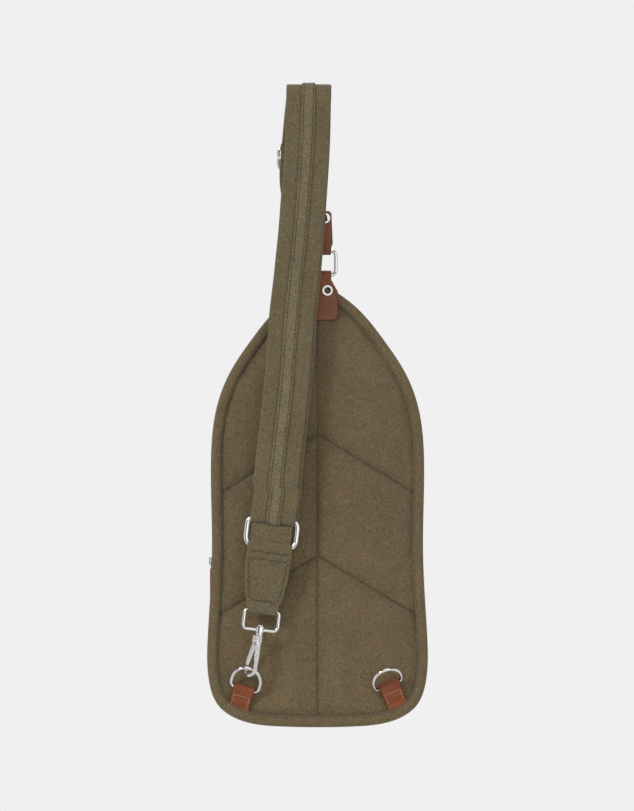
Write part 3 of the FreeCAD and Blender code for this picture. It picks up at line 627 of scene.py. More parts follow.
def stitches(name, paths, normals, material, slot, pitch=3.3, length=2.5, radius=0.34, sink=0.0):
    """A row of stitches on each path of points, one normal for each point. One object."""
    form = stitch_form(length, radius)
    s, p = form.shape[:2]
    faces = [(i * p + k, i * p + (k + 1) % p, (i + 1) * p + (k + 1) % p, (i + 1) * p + k)
             for i in range(s - 1) for k in range(p)]
    faces += [tuple(range(p - 1, -1, -1)), tuple((s - 1) * p + k for k in range(p))]
    rng = np.random.default_rng(len(name))
    frames = []
    for path, normal in zip(paths, normals):
        normal = np.broadcast_to(np.asarray(normal, float), path.shape)
        run = run_along(path)
        end = run[-1]
        count = max(1, int(end // pitch))
        for where in (np.arange(count) + 0.5) * end / count:
            n = read_at(where, run, normal)
            n /= np.linalg.norm(n)
            t = read_at(min(where + 1, end), run, path) - read_at(max(where - 1, 0), run, path)
            t -= n * t.dot(n)
            t /= np.linalg.norm(t)
            side = np.cross(n, t)
            a = math.radians(6.0 + rng.normal(0, 2.5))
            t, side = t * math.cos(a) + side * math.sin(a), side * math.cos(a) - t * math.sin(a)
            shift = n * (rng.normal(0, 0.03) - sink) + side * rng.normal(0, 0.05)
            frames.append((read_at(where, run, path) + shift, t, side, n))
    obj = copies(name, form.reshape(-1, 3), faces, frames)
    turn_outwards(obj)
    return dress(obj, material, slot)


def on_skin(path, skin):
    """Moves a path along Y to the -Y skin of a piece."""
    result = np.array(path, float)
    for p in result:
        near = (skin[:, 0] - p[0]) ** 2 + (skin[:, 2] - p[2]) ** 2 < 1.2
        p[1] = skin[near, 1].min() if near.any() else p[1]
    result[:, 1] = smoothed(result[:, 1])
    return result


def smoothed(values):
    return np.convolve(np.pad(values, 2, mode="edge"), np.ones(5) / 5, mode="valid")


def sewn(name, piece, rows, place, out, thread, slot, body, count=24, **size):
    """Rows of stitches on a piece's -Y skin. Rows are given before they are put in place."""
    skin = coordinates(piece)
    lines = [on_skin(place(resampled(row, shares(count))), skin) for row in rows]
    seam = stitches(name, lines, [out] * len(lines), thread, slot, **size)
    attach(seam, body)


# ---- quilted back panel
SWELL_CAP = 1.6                # no point of the cover moves further in the simulation


def quilt_rays(step):
    """Outline points and middle-line heights of rays that follow the chevron seams."""
    line, _ = right_outline(BINDING_WIDTH - 2.4)
    run = run_along(line)
    side = line[:, 1] < -230
    marks = [0.0]
    for _, end in CHEVRONS:
        marks.append(float(run[side][np.argmin(np.abs(line[side, 1] - end))]))
    marks.append(run[-1])
    middles = [SPINE_TOP_Z, CHEVRONS[0][0], CHEVRONS[1][0], SPINE_LOW_Z]
    where, spine = [0.0], [middles[0]]
    for a, b, za, zb in zip(marks, marks[1:], middles, middles[1:]):
        count = max(2, int(round((b - a) / step)))
        share = np.arange(1, count + 1) / count
        where += list(a + (b - a) * share)
        spine += list(za + (zb - za) * share)
    return resampled(line, np.array(where) / run[-1]), np.array(spine)


def ray_grid(line, spine, share):
    """Flat x, z points of rays from the middle line to the outline: right half, then left."""
    middle = np.stack([0 * spine, spine], axis=1)[:, None]
    right = middle + (line[:, None] - middle) * share[None, :, None]
    return np.stack([right, right * [-1, 1]])


def ray_faces(count, row):
    """Faces of both halves of a grid of this many rays and points on each."""
    faces, half = [], count * row
    for i in range(count - 1):
        for j in range(row - 1):
            a = i * row + j
            faces.append((a, a + row, a + row + 1, a + 1))
            b = a + half
            faces.append((b + 1, b + row + 1, b + row, b))
    return faces


def sheet_object(name, grid, y, place):
    """A sheet with its height along Y at each point of a ray grid, UVs seen along Y."""
    flat, faces = grid.reshape(-1, 2), ray_faces(*grid.shape[1:3])
    obj = new_mesh(name, place(with_y(flat, np.ravel(y))), faces, flat[np.array(faces).ravel()])
    in_bmesh(obj, lambda bm: bmesh.ops.remove_doubles(bm, verts=bm.verts, dist=0.001 * MM))
    return obj


def simulate(obj, held, pressure, last_frame=22):
    """Cloth held where it is sewn, with the padding's pressure behind it. Returns its points."""
    scene = bpy.context.scene
    group = obj.vertex_groups.new(name="held")
    for i, weight in enumerate(held):
        if weight > 0:
            group.add([i], float(weight), "REPLACE")
    cloth = obj.modifiers.new("cloth", "CLOTH")
    settings = cloth.settings
    values = dict(quality=6, mass=0.25, tension_stiffness=12, compression_stiffness=12,
                  shear_stiffness=6, bending_stiffness=0.15, air_damping=4, shrink_min=-0.03,
                  vertex_group_mass="held", use_pressure=True, uniform_pressure_force=pressure)
    for key, value in values.items():
        setattr(settings, key, value)
    settings.effector_weights.gravity = 0
    cloth.collision_settings.use_collision = False
    for f in range(1, last_frame + 1):
        scene.frame_set(f)
    graph = bpy.context.evaluated_depsgraph_get()
    points = read(obj.evaluated_get(graph).to_mesh(), "co") / MM
    obj.modifiers.clear()
    obj.vertex_groups.clear()
    scene.frame_set(1)
    return points


def outline_distance(x, z, line):
    """Distance of points from a symmetric outline, given its right half."""
    p = np.stack([np.abs(x).ravel(), z.ravel()], axis=1)[:, None]
    start, run = line[None, :-1], np.diff(line, axis=0)[None]
    t = np.clip(((p - start) * run).sum(2) / (run ** 2).sum(2), 0, 1)
    return np.linalg.norm(p - start - t[..., None] * run, axis=2).min(1).reshape(x.shape)


def seam_distance(x, z):
    """Distance of points of the panel from the nearest quilting seam, and from the binding."""
    near = np.abs(x) + 3.5 * rise((z - CHEVRONS[0][0] + 10) / 50)
    for apex, end in CHEVRONS:
        drop = (apex - end) / SEAM_REACH
        off = np.abs(z - (apex - np.abs(x) * drop)) / math.hypot(1, drop)
        near = np.minimum(near, off)
    line, _ = right_outline(BINDING_WIDTH, 400)
    return near, outline_distance(x, z, line)


def quilted_sheet():
    """The cover with the padding behind it swollen between the seams. Not leant yet."""
    line, spine = quilt_rays(2.4)
    grid = ray_grid(line, spine, shares(37))
    near, edge = seam_distance(grid[..., 0], grid[..., 1])
    height = PUFF * (1 - np.exp(-near / 5.5)) * (1 - np.exp(-edge / 6.0))
    obj = sheet_object("back_panel_quilt", grid, BACK_Y + SEAM_DEPTH - height, lambda p: p)
    rest = coordinates(obj)
    near, edge = seam_distance(rest[:, 0], rest[:, 2])
    held = dip(near, 0.8) + (edge < 0.9)
    move = simulate(obj, np.clip(held, 0, 1), 3.0) - rest
    far = np.linalg.norm(move, axis=1)
    move *= (SWELL_CAP * np.tanh(far / SWELL_CAP) / np.maximum(far, 1e-6))[:, None]
    set_coordinates(obj, rest + move)
    modified(obj, "SUBSURF", levels=1, render_levels=1)
    return obj


def back_panel():
    obj = quilted_sheet()
    points = coordinates(obj)
    near, edge = seam_distance(points[:, 0], points[:, 2])
    flat = points * [1, 0, 1]
    channel = dip(near, 1.0)
    pucker = bumps(flat, 5.0, 3) * np.exp(-near / 7.0) * 0.45
    slack = bumps(flat, 28.0, 1) * 0.7 + bumps(flat, 11.0, 2) * 0.22
    points[:, 1] += 0.45 * channel + pucker + slack * rise(near / 10) * rise(edge / 12)
    points[:, 1] = np.minimum(points[:, 1], FOAM_Y - 0.1)
    points[:, 1] += pressed_in(points)
    set_coordinates(obj, on_bag(points))
    # painted shade: darker in the quilting seams' grooves and beside the binding's edge; the 60 mm noise on top is
    # random tone
    painted_seam_shade = 1 - 0.16 * channel - 0.14 * np.exp(-near / 4.5) - 0.2 * np.exp(-edge / 3.0)
    paint(obj, "shade", painted_seam_shade * (1 + 0.07 * bumps(flat, 60.0, 5)))
    modified(obj, "SOLIDIFY", thickness=1.1 * MM, offset=-1)
    dress(obj, "canvas", "canvas", "bag", ["back_panel_cover"])
    return obj


def pressed_in(points):
    """How far the hook and the two rings press the panel flat at each point."""
    loop = D_LOOPS["right"]
    away = np.hypot(np.abs(points[:, 0]) - loop["x"], points[:, 2] - loop["z"] - 12)
    return np.maximum(BACK_Y + 0.2 - points[:, 1], 0) * rise((46 - away) / 16)


def surface_at(points, x, z):
    """y of a leant surface's points nearest to each x and z, which are not leant."""
    flat = leant(points, -BAG_LEAN, PIVOT_Y, PIVOT_Z)
    result = []
    for px, pz in zip(x, z):
        d = (flat[:, 0] - px) ** 2 + (flat[:, 2] - pz) ** 2
        near = np.argsort(d)[:4]
        result.append(flat[near, 1].min())
    return np.array(result)


def quilt_stitches(panel):
    skin = coordinates(panel)
    z = np.arange(TOP_Z - 12, BASE_Z + 12, -2.0)
    paths = [np.stack([0 * z, z], axis=1)]
    x = np.arange(1.5, 81.0, 2.0)
    for apex, end in CHEVRONS:
        paths += [np.stack([side * x, apex - x * (apex - end) / SEAM_REACH], axis=1)
                  for side in (-1, 1)]
    lines = [on_bag(with_y(path, smoothed(surface_at(skin, *path.T)))) for path in paths]
    row = stitches("quilt_stitches", lines, [BAG_OUT] * len(lines), "quilt_thread", "canvas",
                   pitch=3.4, length=2.5, radius=0.32, sink=0.1)
    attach(row, "bag")


# ---- binding
D_LOOPS = {"left": dict(x=-62.1, z=-504.0, lean=-16.5), "right": dict(x=60.6, z=-501.0, lean=23.3)}
D_LEATHER_WIDTH = 18.0
D_BAR_Y = 1.2


def whole_outline(count):
    """The whole outline and its inward normals, evenly spaced, right side first."""
    half = np.hstack(right_outline())
    whole = np.vstack([half, half[-2::-1] * [-1, 1, -1, 1]])
    run = run_along(whole[:, :2])
    line, n = np.hsplit(read_at(run[-1] * shares(count, False), run, whole), 2)
    return line, n / np.linalg.norm(n, axis=1)[:, None]


def leather_swell(line):
    """How far the binding stands out where it passes over a leather loop."""
    swell = np.zeros(len(line))
    for d in D_LOOPS.values():
        foot = turned([[0, 0, -22.0]], -d["lean"], (d["x"], 0, d["z"]))[0]
        off = np.abs(line[:, 0] - foot[0])
        near = rise((D_LEATHER_WIDTH / 2 + 5 - off) / 4.5)
        swell = np.maximum(swell, near * (line[:, 1] < -500))
    return 1.5 * swell


def rolled(node_name, line, normal, section, y_at, seed, swell):
    """A binding of this section (inset, y) round the outline."""
    inset, y = resampled(section + section[:1], shares(26, False)).T
    flat = line[:, None] + normal[:, None] * inset[None, :, None]
    rings = with_y(flat, y[None] + y_at(flat[..., 1]))
    ripple = bumps(rings, 6.5, seed) * 0.5 + bumps(rings, 22.0, seed + 1)
    rings[..., 1] += 0.16 * ripple * (inset[None] > 0.5)
    front = np.clip((BACK_Y + 0.4 - y) / 2.0, 0, 1)
    rings[..., 1] -= swell[:, None] * front[None]
    # painted shade: the roll is lighter along its middle and darker towards its edges, as light falls on a round
    # binding; the ripple term adds a little tone
    shade = 1.0 + 0.10 * np.cos((inset - 4.5) / 9.0 * math.pi)[None] + 0.06 * ripple
    obj = loft(node_name + "_roll", on_body(rings), closed=True, shade=shade)
    dress(obj, "binding", "binding", "bag", [node_name])


def bindings():
    line, normal = whole_outline(520)
    section = [(9.1, 5.6), (9.15, 4.4), (8.7, 3.4), (7.4, 2.75), (5.4, 2.25), (3.4, 2.2),
               (1.5, 2.75), (0.4, 3.9), (0.0, 5.8), (0.0, 9.6), (0.3, 11.3), (1.2, 11.9),
               (2.2, 11.6), (2.2, 6.4), (5.0, 6.0)]
    swell = leather_swell(line)
    rolled("back_binding", line, normal, section, lambda z: 0 * z, 4, swell)
    path = with_y(line + normal * 7.7, 2.95 - swell)
    path = on_bag(np.vstack([path, path[:1]]))
    seam = stitches("binding_stitches", [path], [BAG_OUT], "quilt_thread", "binding", pitch=3.1,
                    length=2.2, radius=0.3, sink=0.1)
    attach(seam, "bag")
    section = [(6.6, -1.0), (6.4, 0.9), (5.2, 1.9), (3.4, 2.1), (1.6, 1.5), (0.6, -0.2),
               (0.7, -3.0), (1.4, -4.2), (2.6, -4.0), (2.8, -1.2)]
    rolled("front_binding", line, normal, section, body_front_y, 9, 0 * swell)


# ---- gusset and main zip
GUSSET_INSET, GUSSET_THICK = 3.0, 1.8
TOOTH_PITCH, TOOTH_SIZE = 1.5, (0.5, 1.15, 0.55)
ZIP_END_Z = float(lowered(ZIP_LOW_Z, front_y(ZIP_LOW_Z) - ZIP_BACK + ZIP_WIDTH / 2))


def wall_line(low):
    """Outline points and normals above the main zip's ends or, if low, round the base."""
    line, normal = whole_outline(420)
    if low:
        picked = line[:, 1] <= ZIP_END_Z + 1.5
        index = int(np.argmax(picked)) + np.arange(int(picked.sum()))
    else:
        order = np.roll(np.arange(420), 210)
        index = order[line[order, 1] > ZIP_END_Z]
    return line[index], normal[index]


def wall(name, low, back_at, front_at, seed):
    """A stretch of side wall between two depths, and its near and far seams with normals."""
    line, normal = wall_line(low)
    near, far = back_at(line[:, 1]), front_at(line[:, 1])
    width = (far - near)[:, None]
    top = np.stack([shares(16), np.zeros(16)], axis=1)
    under = np.stack([shares(16)[::-1], np.full(16, GUSSET_THICK)], axis=1)
    section = np.vstack([top, [[1.0, GUSSET_THICK / 2]], under, [[0.0, GUSSET_THICK / 2]]])
    share, depth = section.T
    lip = np.minimum(share, 1 - share)[None] * width
    inset = GUSSET_INSET + depth[None] + 0.5 * dip(lip, 1.2)
    rings = with_y(line[:, None] + normal[:, None] * inset[..., None],
                   near[:, None] + width * share[None])
    slack = 0.8 * bumps(rings, 26.0, seed) + 0.27 * bumps(rings, 9.0, seed + 1) - 0.5
    slack = slack * np.sin(np.pi * share)[None]
    outward = -with_y(normal, 0.0)
    rings -= outward[:, None] * slack[..., None]
    # painted shade: darker in the creases along both seams; the slack term adds a little tone
    shade = 1 - 0.25 * dip(lip, 1.5) + 0.08 * slack
    obj = loft(name, on_body(rings), shade=shade)
    dress(obj, "canvas", "canvas", "bag")
    seams = [on_body(with_y(line + normal * (GUSSET_INSET - 0.05), y))
             for y in (near + 2.6, far - 2.6)]
    return obj, seams, bag_way(outward)


def gusset():
    zip_back = lambda z: body_front_y(z) - ZIP_BACK
    zip_front = lambda z: body_front_y(z) - ZIP_BACK + ZIP_WIDTH
    start = lambda z: np.full(len(z), PANEL_BACK_Y - 0.4)
    end = lambda z: body_front_y(z) - 1.6
    back, back_seams, back_out = wall("gusset_behind_zip", False, start, zip_back, 11)
    _, front_seams, front_out = wall("gusset_before_zip", False, zip_front, end, 13)
    wall("gusset_base", True, start, end, 15)
    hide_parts("gusset")
    row = stitches("zip_edge_stitches", [back_seams[1], front_seams[0]], [back_out, front_out],
                   "quilt_thread", "canvas", pitch=3.2)
    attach(row, "bag")


def zip_tooth_rows(name, centres, across, outward):
    """Interlocked teeth: one small block each side in turn along the zip's middle line."""
    box = np.array([(a, b, c) for a in (-1, 1) for b in (-1, 1) for c in (-1, 1)], float)
    quads = [(0, 1, 3, 2), (4, 6, 7, 5), (0, 4, 5, 1), (2, 3, 7, 6), (0, 2, 6, 4), (1, 5, 7, 3)]
    run = run_along(centres)
    frames = []
    for i, where in enumerate(np.arange(1.0, run[-1] - 1.0, TOOTH_PITCH)):
        c, w, n = (read_at(where, run, rows) for rows in (centres, across, outward))
        t = read_at(where + 0.5, run, centres) - read_at(where - 0.5, run, centres)
        frames.append((c + w * (0.75 if i % 2 else -0.75), t / np.linalg.norm(t), w, n))
    obj = copies(name, box * TOOTH_SIZE, quads, frames)
    modified(obj, "BEVEL", width=0.16 * MM, segments=2, limit_method="NONE")
    turn_outwards(obj)
    return obj


def zip_pieces(name, middle, wides, outwards, width, trim):
    """A zip's tape along its middle line, and the teeth on the tape, short of its ends."""
    tape = swept(name + "_tape_woven", middle, wides, outwards, band_profile(width, 0.8, 12))
    dress(tape, "tape", "zip_tape", "bag", [name + "_tape"])
    cut = slice(trim, -trim)
    teeth = zip_tooth_rows(name + "_teeth_row", (middle + outwards * 0.75)[cut], wides[cut],
                           outwards[cut])
    dress(teeth, "dark_nickel", "zip_teeth", "bag", [name + "_teeth"])


def main_zip():
    line, normal = (np.roll(rows, -260, axis=0) for rows in whole_outline(520))
    high = line[:, 1] > ZIP_END_Z + 0.5
    line, outward = line[high], -with_y(normal[high], 0.0)
    middle = with_y(line, body_front_y(line[:, 1]) - ZIP_BACK + ZIP_WIDTH / 2)
    middle = on_body(middle - outward * (GUSSET_INSET + 1.25))
    wides = np.broadcast_to([0.0, 1.0, 0.0], middle.shape)
    zip_pieces("main_zip", middle, wides, bag_way(outward), ZIP_WIDTH + 1.6, 6)


# ---- front panel and pocket
def front_sheet(name, grid, y, thickness, stands_for):
    """A sheet of the bag's canvas on the front, from a ray grid and the depth at each point."""
    obj = sheet_object(name, grid, y, on_body)
    modified(obj, "SOLIDIFY", thickness=thickness * MM, offset=1)
    turn_outwards(obj)
    dress(obj, "canvas", "canvas", "bag", [stands_for])


def front_panel():
    count, share = 130, shares(31)
    line = resampled(right_outline(3.2)[0], shares(count))
    grid = ray_grid(line, np.linspace(SPINE_TOP_Z, SPINE_LOW_Z, count), share)
    flat, edge = with_y(grid, 0.0), (1 - share)[None, None]
    bulge = 2.6 * rise(edge / 0.5) + 1.1 * bumps(flat, 40.0, 21) + 0.35 * bumps(flat, 13.0, 22)
    y = body_front_y(grid[..., 1]) - 0.4 + bulge * rise(edge / 0.25)
    front_sheet("front_panel_cloth", grid, y, 1.6, "front_panel")


def pocket_line():
    """Right half of the pocket's outline: a flat top with a rounded corner, then the bag's own."""
    line, _ = right_outline(POCKET_INSET)
    top_z = lowered(POCKET_TOP_Z, front_y(POCKET_TOP_Z) + POCKET_DEPTH / 2)
    below = line[line[:, 1] < top_z - POCKET_CORNER]
    centre = np.array([below[0, 0], top_z]) - POCKET_CORNER
    arc = [centre + [POCKET_CORNER * math.sin(a), POCKET_CORNER * math.cos(a)]
           for a in np.linspace(0, math.pi / 2, 9)]
    return np.vstack([[(0.0, top_z)], arc, below])


def pocket():
    count = 150
    line = resampled(pocket_line(), shares(count))
    spine = np.linspace(POCKET_TOP_Z - 24, SPINE_LOW_Z + 6, count)
    grid = ray_grid(line, spine, 1 - (1 - shares(45)) ** 1.7)
    x, z = np.abs(grid[..., 0]), grid[..., 1]
    edge = outline_distance(x, z, line)
    near = np.clip(1 - edge / POCKET_ROUNDING, 0, 1)
    form = POCKET_DEPTH * np.sqrt(np.clip(1 - near ** 2.6, 0, 1))
    flat = with_y(grid, 0.0)
    slack = 0.9 * bumps(flat, 34.0, 31) + 0.35 * bumps(flat, 12.0, 32) + 1.4 * rise(edge / 40)
    slot_z = lowered(POCKET_ZIP_Z, front_y(POCKET_ZIP_Z) + POCKET_DEPTH)
    above = np.abs(z - slot_z)
    slot = rise((POCKET_ZIP_HALF + 1.0 - x) / 2.0) * rise((5.2 - above) / 1.3)
    lip = dip(above - 6.4, 1.6) * rise((66 - x) / 3)
    y = body_front_y(z) + form + slack * rise(edge / 9) * (1 - slot) - 1.9 * slot + 0.4 * lip
    front_sheet("front_pocket_pouch", grid, y, 1.4, "pocket_shell")
    pocket_zip()


def pocket_zip():
    x = np.linspace(0.5 - POCKET_ZIP_HALF, POCKET_ZIP_HALF - 0.5, 90)
    flat = np.stack([x, np.full(90, POCKET_ZIP_Z)], axis=1)
    middle = on_bag(with_y(flat, front_y(POCKET_ZIP_Z) + POCKET_DEPTH - 1.0))
    slope_y, slope_z = math.sin(math.radians(FRONT_SLOPE)), math.cos(math.radians(FRONT_SLOPE))
    wides = bag_way(np.broadcast_to([0.0, slope_y, -slope_z], middle.shape))
    outwards = bag_way(np.broadcast_to([0.0, slope_z, slope_y], middle.shape))
    zip_pieces("pocket_zip", middle, wides, outwards, 9.6, 2)


# ---- strap
TAIL_ORIGIN, TAIL_WIDE, TAIL_OUT = on_tail([(0.0, 0, 0), (1, 0, 0), (0, -1, 0)])
TAIL_WIDE, TAIL_OUT = TAIL_WIDE - TAIL_ORIGIN, TAIL_OUT - TAIL_ORIGIN


def line_at(line, z):
    """x of a line of x, z points at these heights, smoothly."""
    p = even(line, 2.0)
    return np.interp(-np.asarray(z, float), -p[:, 1], p[:, 0])


def back_stretch(radius, low_z):
    """Middle of a layer up the back, from low_z to the peg's height."""
    run = even(BACK_RUN, 2.0)[::-1]
    run = run[run[:, 1] >= low_z]
    x = line_at(BACK_LINE, run[:, 1])
    return np.stack([x, run[:, 0] + radius - OUTER_R, run[:, 1]], axis=1)


def fold_stretch(radius):
    """Over the peg, from its back to where the front run leaves it."""
    a = np.radians(np.linspace(0, 180 - STRAP_LEAN, 26))[1:-1]
    return np.stack([0 * a + FOLD_X, radius * np.cos(a), radius * np.sin(a)], axis=1)


def front_stretch(radius, shift=0.0):
    """Down the front to the oval ring. shift moves the lower part sideways."""
    z = np.arange(0, FRONT_LOW_Z - 1, -3.0)
    x = line_at(STRAP_LINE, z) + shift * rise(-z / 250.0)
    return on_strap(np.stack([x, 0 * z - radius, z], axis=1))


def wrap_stretch():
    """Round the oval ring's top bar, from the outer layer to the inner one."""
    fall = [(-1.6, 24.0), (-2.6, 12.0), (-4.0, 4.0)]
    arc = [(-WRAP_R * math.cos(a), -WRAP_R * math.sin(a)) for a in np.linspace(0, math.pi, 15)]
    y, z = even(fall + arc + [(-y, z) for y, z in reversed(fall)], 1.2).T
    return on_tail(np.stack([2.2 * rise((y + 4) / 8), y, OVAL_TOP + z], axis=1))


def strap_route(back_low=-118.0, inner=True):
    """The strap's middle line, the direction of its width, and its outward normals."""
    parts = [back_stretch(OUTER_R, back_low), fold_stretch(OUTER_R), front_stretch(OUTER_R),
             wrap_stretch()]
    if inner:
        up = front_stretch(INNER_R, shift=2.6)[::-1]
        parts += [up[1:], fold_stretch(INNER_R)[::-1], [[FOLD_X, INNER_R, 0.0]]]
    route = even(np.vstack(parts), 2.2)
    share = rise((-route[:, 2] - 300) / 50)[:, None]
    wide = np.array([1.0, 0, 0]) * (1 - share) + TAIL_WIDE * share
    wide /= np.linalg.norm(wide, axis=1)[:, None]
    return route, wide, frames(route, wide)


def strap():
    route, wide, normal = strap_route()
    profile = band_profile(STRAP_WIDTH, LAYER, 20, bulge=0.12)
    narrowed = rise((-route[:, 2] - 82) / 14) * (route[:, 1] > 0)
    taper = 1 - (1 - TAPERED_WIDTH / STRAP_WIDTH) * narrowed
    rings = band_rings(route, wide, normal, profile, taper[:, None, None])
    ripple = bumps(rings, 19.0, 41)
    rings += normal[:, None] * (0.28 * ripple)[..., None]
    rings += wide[:, None] * (0.45 * bumps(route, 38.0, 42))[:, None, None]
    across = np.abs(profile[:, 0])
    # painted shade: a dark line beside each edge of the strip, where it shades the strap, and darker rounded
    # sides; the ripple term paints the raised waves lighter, a painted highlight
    shade = 1 - 0.24 * dip(across - STRIP_WIDTH / 2 - 0.5, 1.0)
    shade = shade - 0.12 * rise(across - STRAP_WIDTH / 2 + 1.0)
    obj = loft("strap_canvas_loop", rings, shade=shade[None] + 0.07 * ripple)
    dress(obj, "strap", "canvas", nodes=["strap_back_outer", "strap_front_outer",
          "strap_front_inner", "strap_fold_inner", "strap_end_loop"])
    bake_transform(obj)


def strip():
    route, wide, normal = strap_route(back_low=-92.0, inner=False)
    z = route[:, 2]
    under_slider = (route[:, 1] > 0) * rise((-z - 14) / 5) * rise((z + 79) / 5)
    route = route + normal * ((LAYER + STRIP) / 2 + 0.05 - 0.95 * under_slider)[:, None]
    profile = band_profile(STRIP_WIDTH, STRIP, 12, bulge=0.22)
    rings = band_rings(route, wide, normal, profile)
    ripple = bumps(rings, 9.0, 51)
    rings += normal[:, None] * (0.1 * ripple * (1 - under_slider[:, None]))[..., None]
    # painted shade along the two stitch rows, and a painted highlight on the raised ripples
    shade = 1 - 0.22 * dip(np.abs(profile[:, 0]) - 4.0, 0.5)[None] + 0.08 * ripple
    obj = loft("strap_strip_band", rings, shade=shade)
    dress(obj, "strip", "strip", nodes=["strap_front_strip", "strap_back_strip"])
    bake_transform(obj)
    paths = [route + wide * side + normal * (STRIP / 2 + 0.05) for side in (-3.95, 3.95)]
    row = stitches("strip_stitches", paths, [normal, normal], "strip_thread", "strip",
                   pitch=3.1, length=2.3, radius=0.42, sink=0.16)
    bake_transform(row)


def strap_to_slider():
    """The inner layer's short run from the fold down to the slider."""
    z = np.linspace(-1.0, -41.0, 22)
    route = np.stack([line_at(BACK_LINE, z), 0 * z + INNER_R - 0.15, z], axis=1)
    wide = np.broadcast_to([1.0, 0, 0], route.shape)
    obj = swept("strap_inner_end", route, wide, frames(route[::-1], wide)[::-1],
                band_profile(STRAP_WIDTH - 0.8, LAYER - 0.4, 14), wave=0.12, seed=61)
    dress(obj, "strap", "canvas", nodes=["strap_back_inner"])
    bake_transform(obj)


# ---- pieces softened from their CAD nodes
def softened(source, name, voxel, passes, *looks):
    """A copy of a CAD node with its sharp edges worn round. looks are its material, slot, body."""
    obj = linked(name, NODES[source].data.copy())
    modified(obj, "WELD", merge_threshold=1e-6)
    modified(obj, "REMESH", mode="VOXEL", voxel_size=voxel * MM)
    modified(obj, "SMOOTH", factor=0.5, iterations=passes)
    paint(obj, "shade", 1.0)
    flat_uv(obj)
    return dress(obj, *looks, [source])


def paint_edge(obj, side, low_z=-FAR):
    """Marks a leather piece's cut edges: faces that look along side, and its low end."""
    normals = read(obj.data, "normal")
    mark = rise((np.abs(normals @ side) - 0.15) / 0.4)
    low = coordinates(obj)[:, 2] < low_z
    paint(obj, "edge", np.maximum(mark, rise((-normals[:, 2] - 0.3) / 0.4) * low))


def tail_tab():
    obj = softened("hook_tab", "hook_tab_canvas", 0.55, 4, "strap", "canvas", "tail_tab")
    points = coordinates(obj)
    points[:, 1] += bumps(points, 9.0, 71) * 0.25
    set_coordinates(obj, points)
    y = -2.15
    rows = [[(-15.2, y - 1.2, -17.6), (15.6, y - 1.2, -17.8)],
            [(-15.8, y, -23.6), (15.8, y, -23.8)],
            [(-10.6, y - 0.2, -58.4), (11.4, y - 0.2, -59.2)],
            [(-16.3, y, -24.5), (-15.6, y, -36.0), (-13.7, y, -50.0), (-11.6, y, -58.0)],
            [(16.3, y, -24.5), (15.6, y, -36.0), (13.9, y, -50.0), (12.0, y, -58.6)]]
    sewn("hook_tab_stitches", obj, rows, on_tail, TAIL_OUT, "strip_thread", "canvas", "tail_tab",
         count=30, pitch=2.8, length=2.1, radius=0.4)


def ring_filler():
    """The tab's inner layer, which closes the oval ring between the tab and the strap's end."""
    z = np.linspace(-15.0, OVAL_TOP - WRAP_R - LAYER / 2 - 0.6, 12)
    path = on_tail(np.stack([0 * z, 0 * z, z], axis=1))
    obj = swept("hook_tab_filler", path, np.broadcast_to(TAIL_WIDE, path.shape),
                np.broadcast_to(TAIL_OUT, path.shape), band_profile(34.0, 1.8, 14, bulge=0.3),
                wave=0.15, seed=75)
    dress(obj, "strap", "canvas", "tail_tab")


def leather_pieces():
    looks = "tab_leather", "leather"
    lower = softened("lower_tab", "lower_tab_leather", 0.5, 4, *looks, "bag")
    paint_edge(lower, (1, 0, 0), -180.0)
    upper = softened("upper_tab", "upper_tab_leather", 0.5, 4, *looks, "strap_back")
    paint_edge(upper, (1, 0, 0))
    half, top, low = 14.9, -170.4, -188.2
    rows = [[(half, 0, -164.0), (half, 0, low)], [(half, 0, low), (-half, 0, low)],
            [(-half, 0, low), (-half, 0, -164.0)], [(half, 0, top), (-half, 0, top)],
            [(half, 0, top), (-half, 0, low)], [(-half, 0, top), (half, 0, low)]]
    size = dict(pitch=2.9, length=2.2, radius=0.3)
    sewn("lower_tab_stitches", lower, rows, on_bag, BAG_OUT, "tan_thread", "leather", "bag", **size)
    rows = [[(9.8, 0, -117.0), (11.2, 0, -100.0)], [(11.2, 0, -100.0), (-14.8, 0, -100.0)],
            [(-15.6, 0, -117.0), (-14.8, 0, -100.0)]]
    sewn("upper_tab_stitches", upper, rows, lambda p: p, (0, -1, 0), "tan_thread", "leather",
         "strap_back", **size)
    for side, d in D_LOOPS.items():
        leather_loop(side, d)


def leather_loop(side, d):
    """The loop that holds a D-ring. It is pressed thinner where it goes under the binding."""
    looks = "loop_leather", "leather", "bag"
    obj = softened(side + "_leather_loop", side + "_loop_leather", 0.4, 3, *looks)
    origin = [d["x"], D_BAR_Y, d["z"]]
    place = lambda p: on_bag(turned(p, -d["lean"], origin))
    local = leant(coordinates(obj), -BAG_LEAN, PIVOT_Y, PIVOT_Z) - origin
    local = turned(local, d["lean"], (0, 0, 0))
    squeeze = rise((-local[:, 2] - 10.5) / 5.0)
    back = BACK_Y - D_BAR_Y
    local[:, 1] = back + (local[:, 1] - back) * (1 - 0.5 * squeeze)
    set_coordinates(obj, place(local))
    across, middle = place([(1.0, 0, 0), (0, 0, 0)])
    paint_edge(obj, across - middle)
    half = D_LEATHER_WIDTH / 2 - 2.2
    rows = [[(-half, 0, -6.6), (half, 0, -6.6)], [(half, 0, -6.6), (half, 0, -15.0)],
            [(-half, 0, -6.6), (-half, 0, -15.0)]]
    sewn(side + "_loop_stitches", obj, rows, place, BAG_OUT, "cream_thread", "leather", "bag",
         count=20, pitch=2.2, length=1.7, radius=0.26)


def slider_end():
    looks = "strap", "canvas", "slider"
    softened("slider_strap_end", "slider_strap_end_canvas", 0.5, 3, *looks)


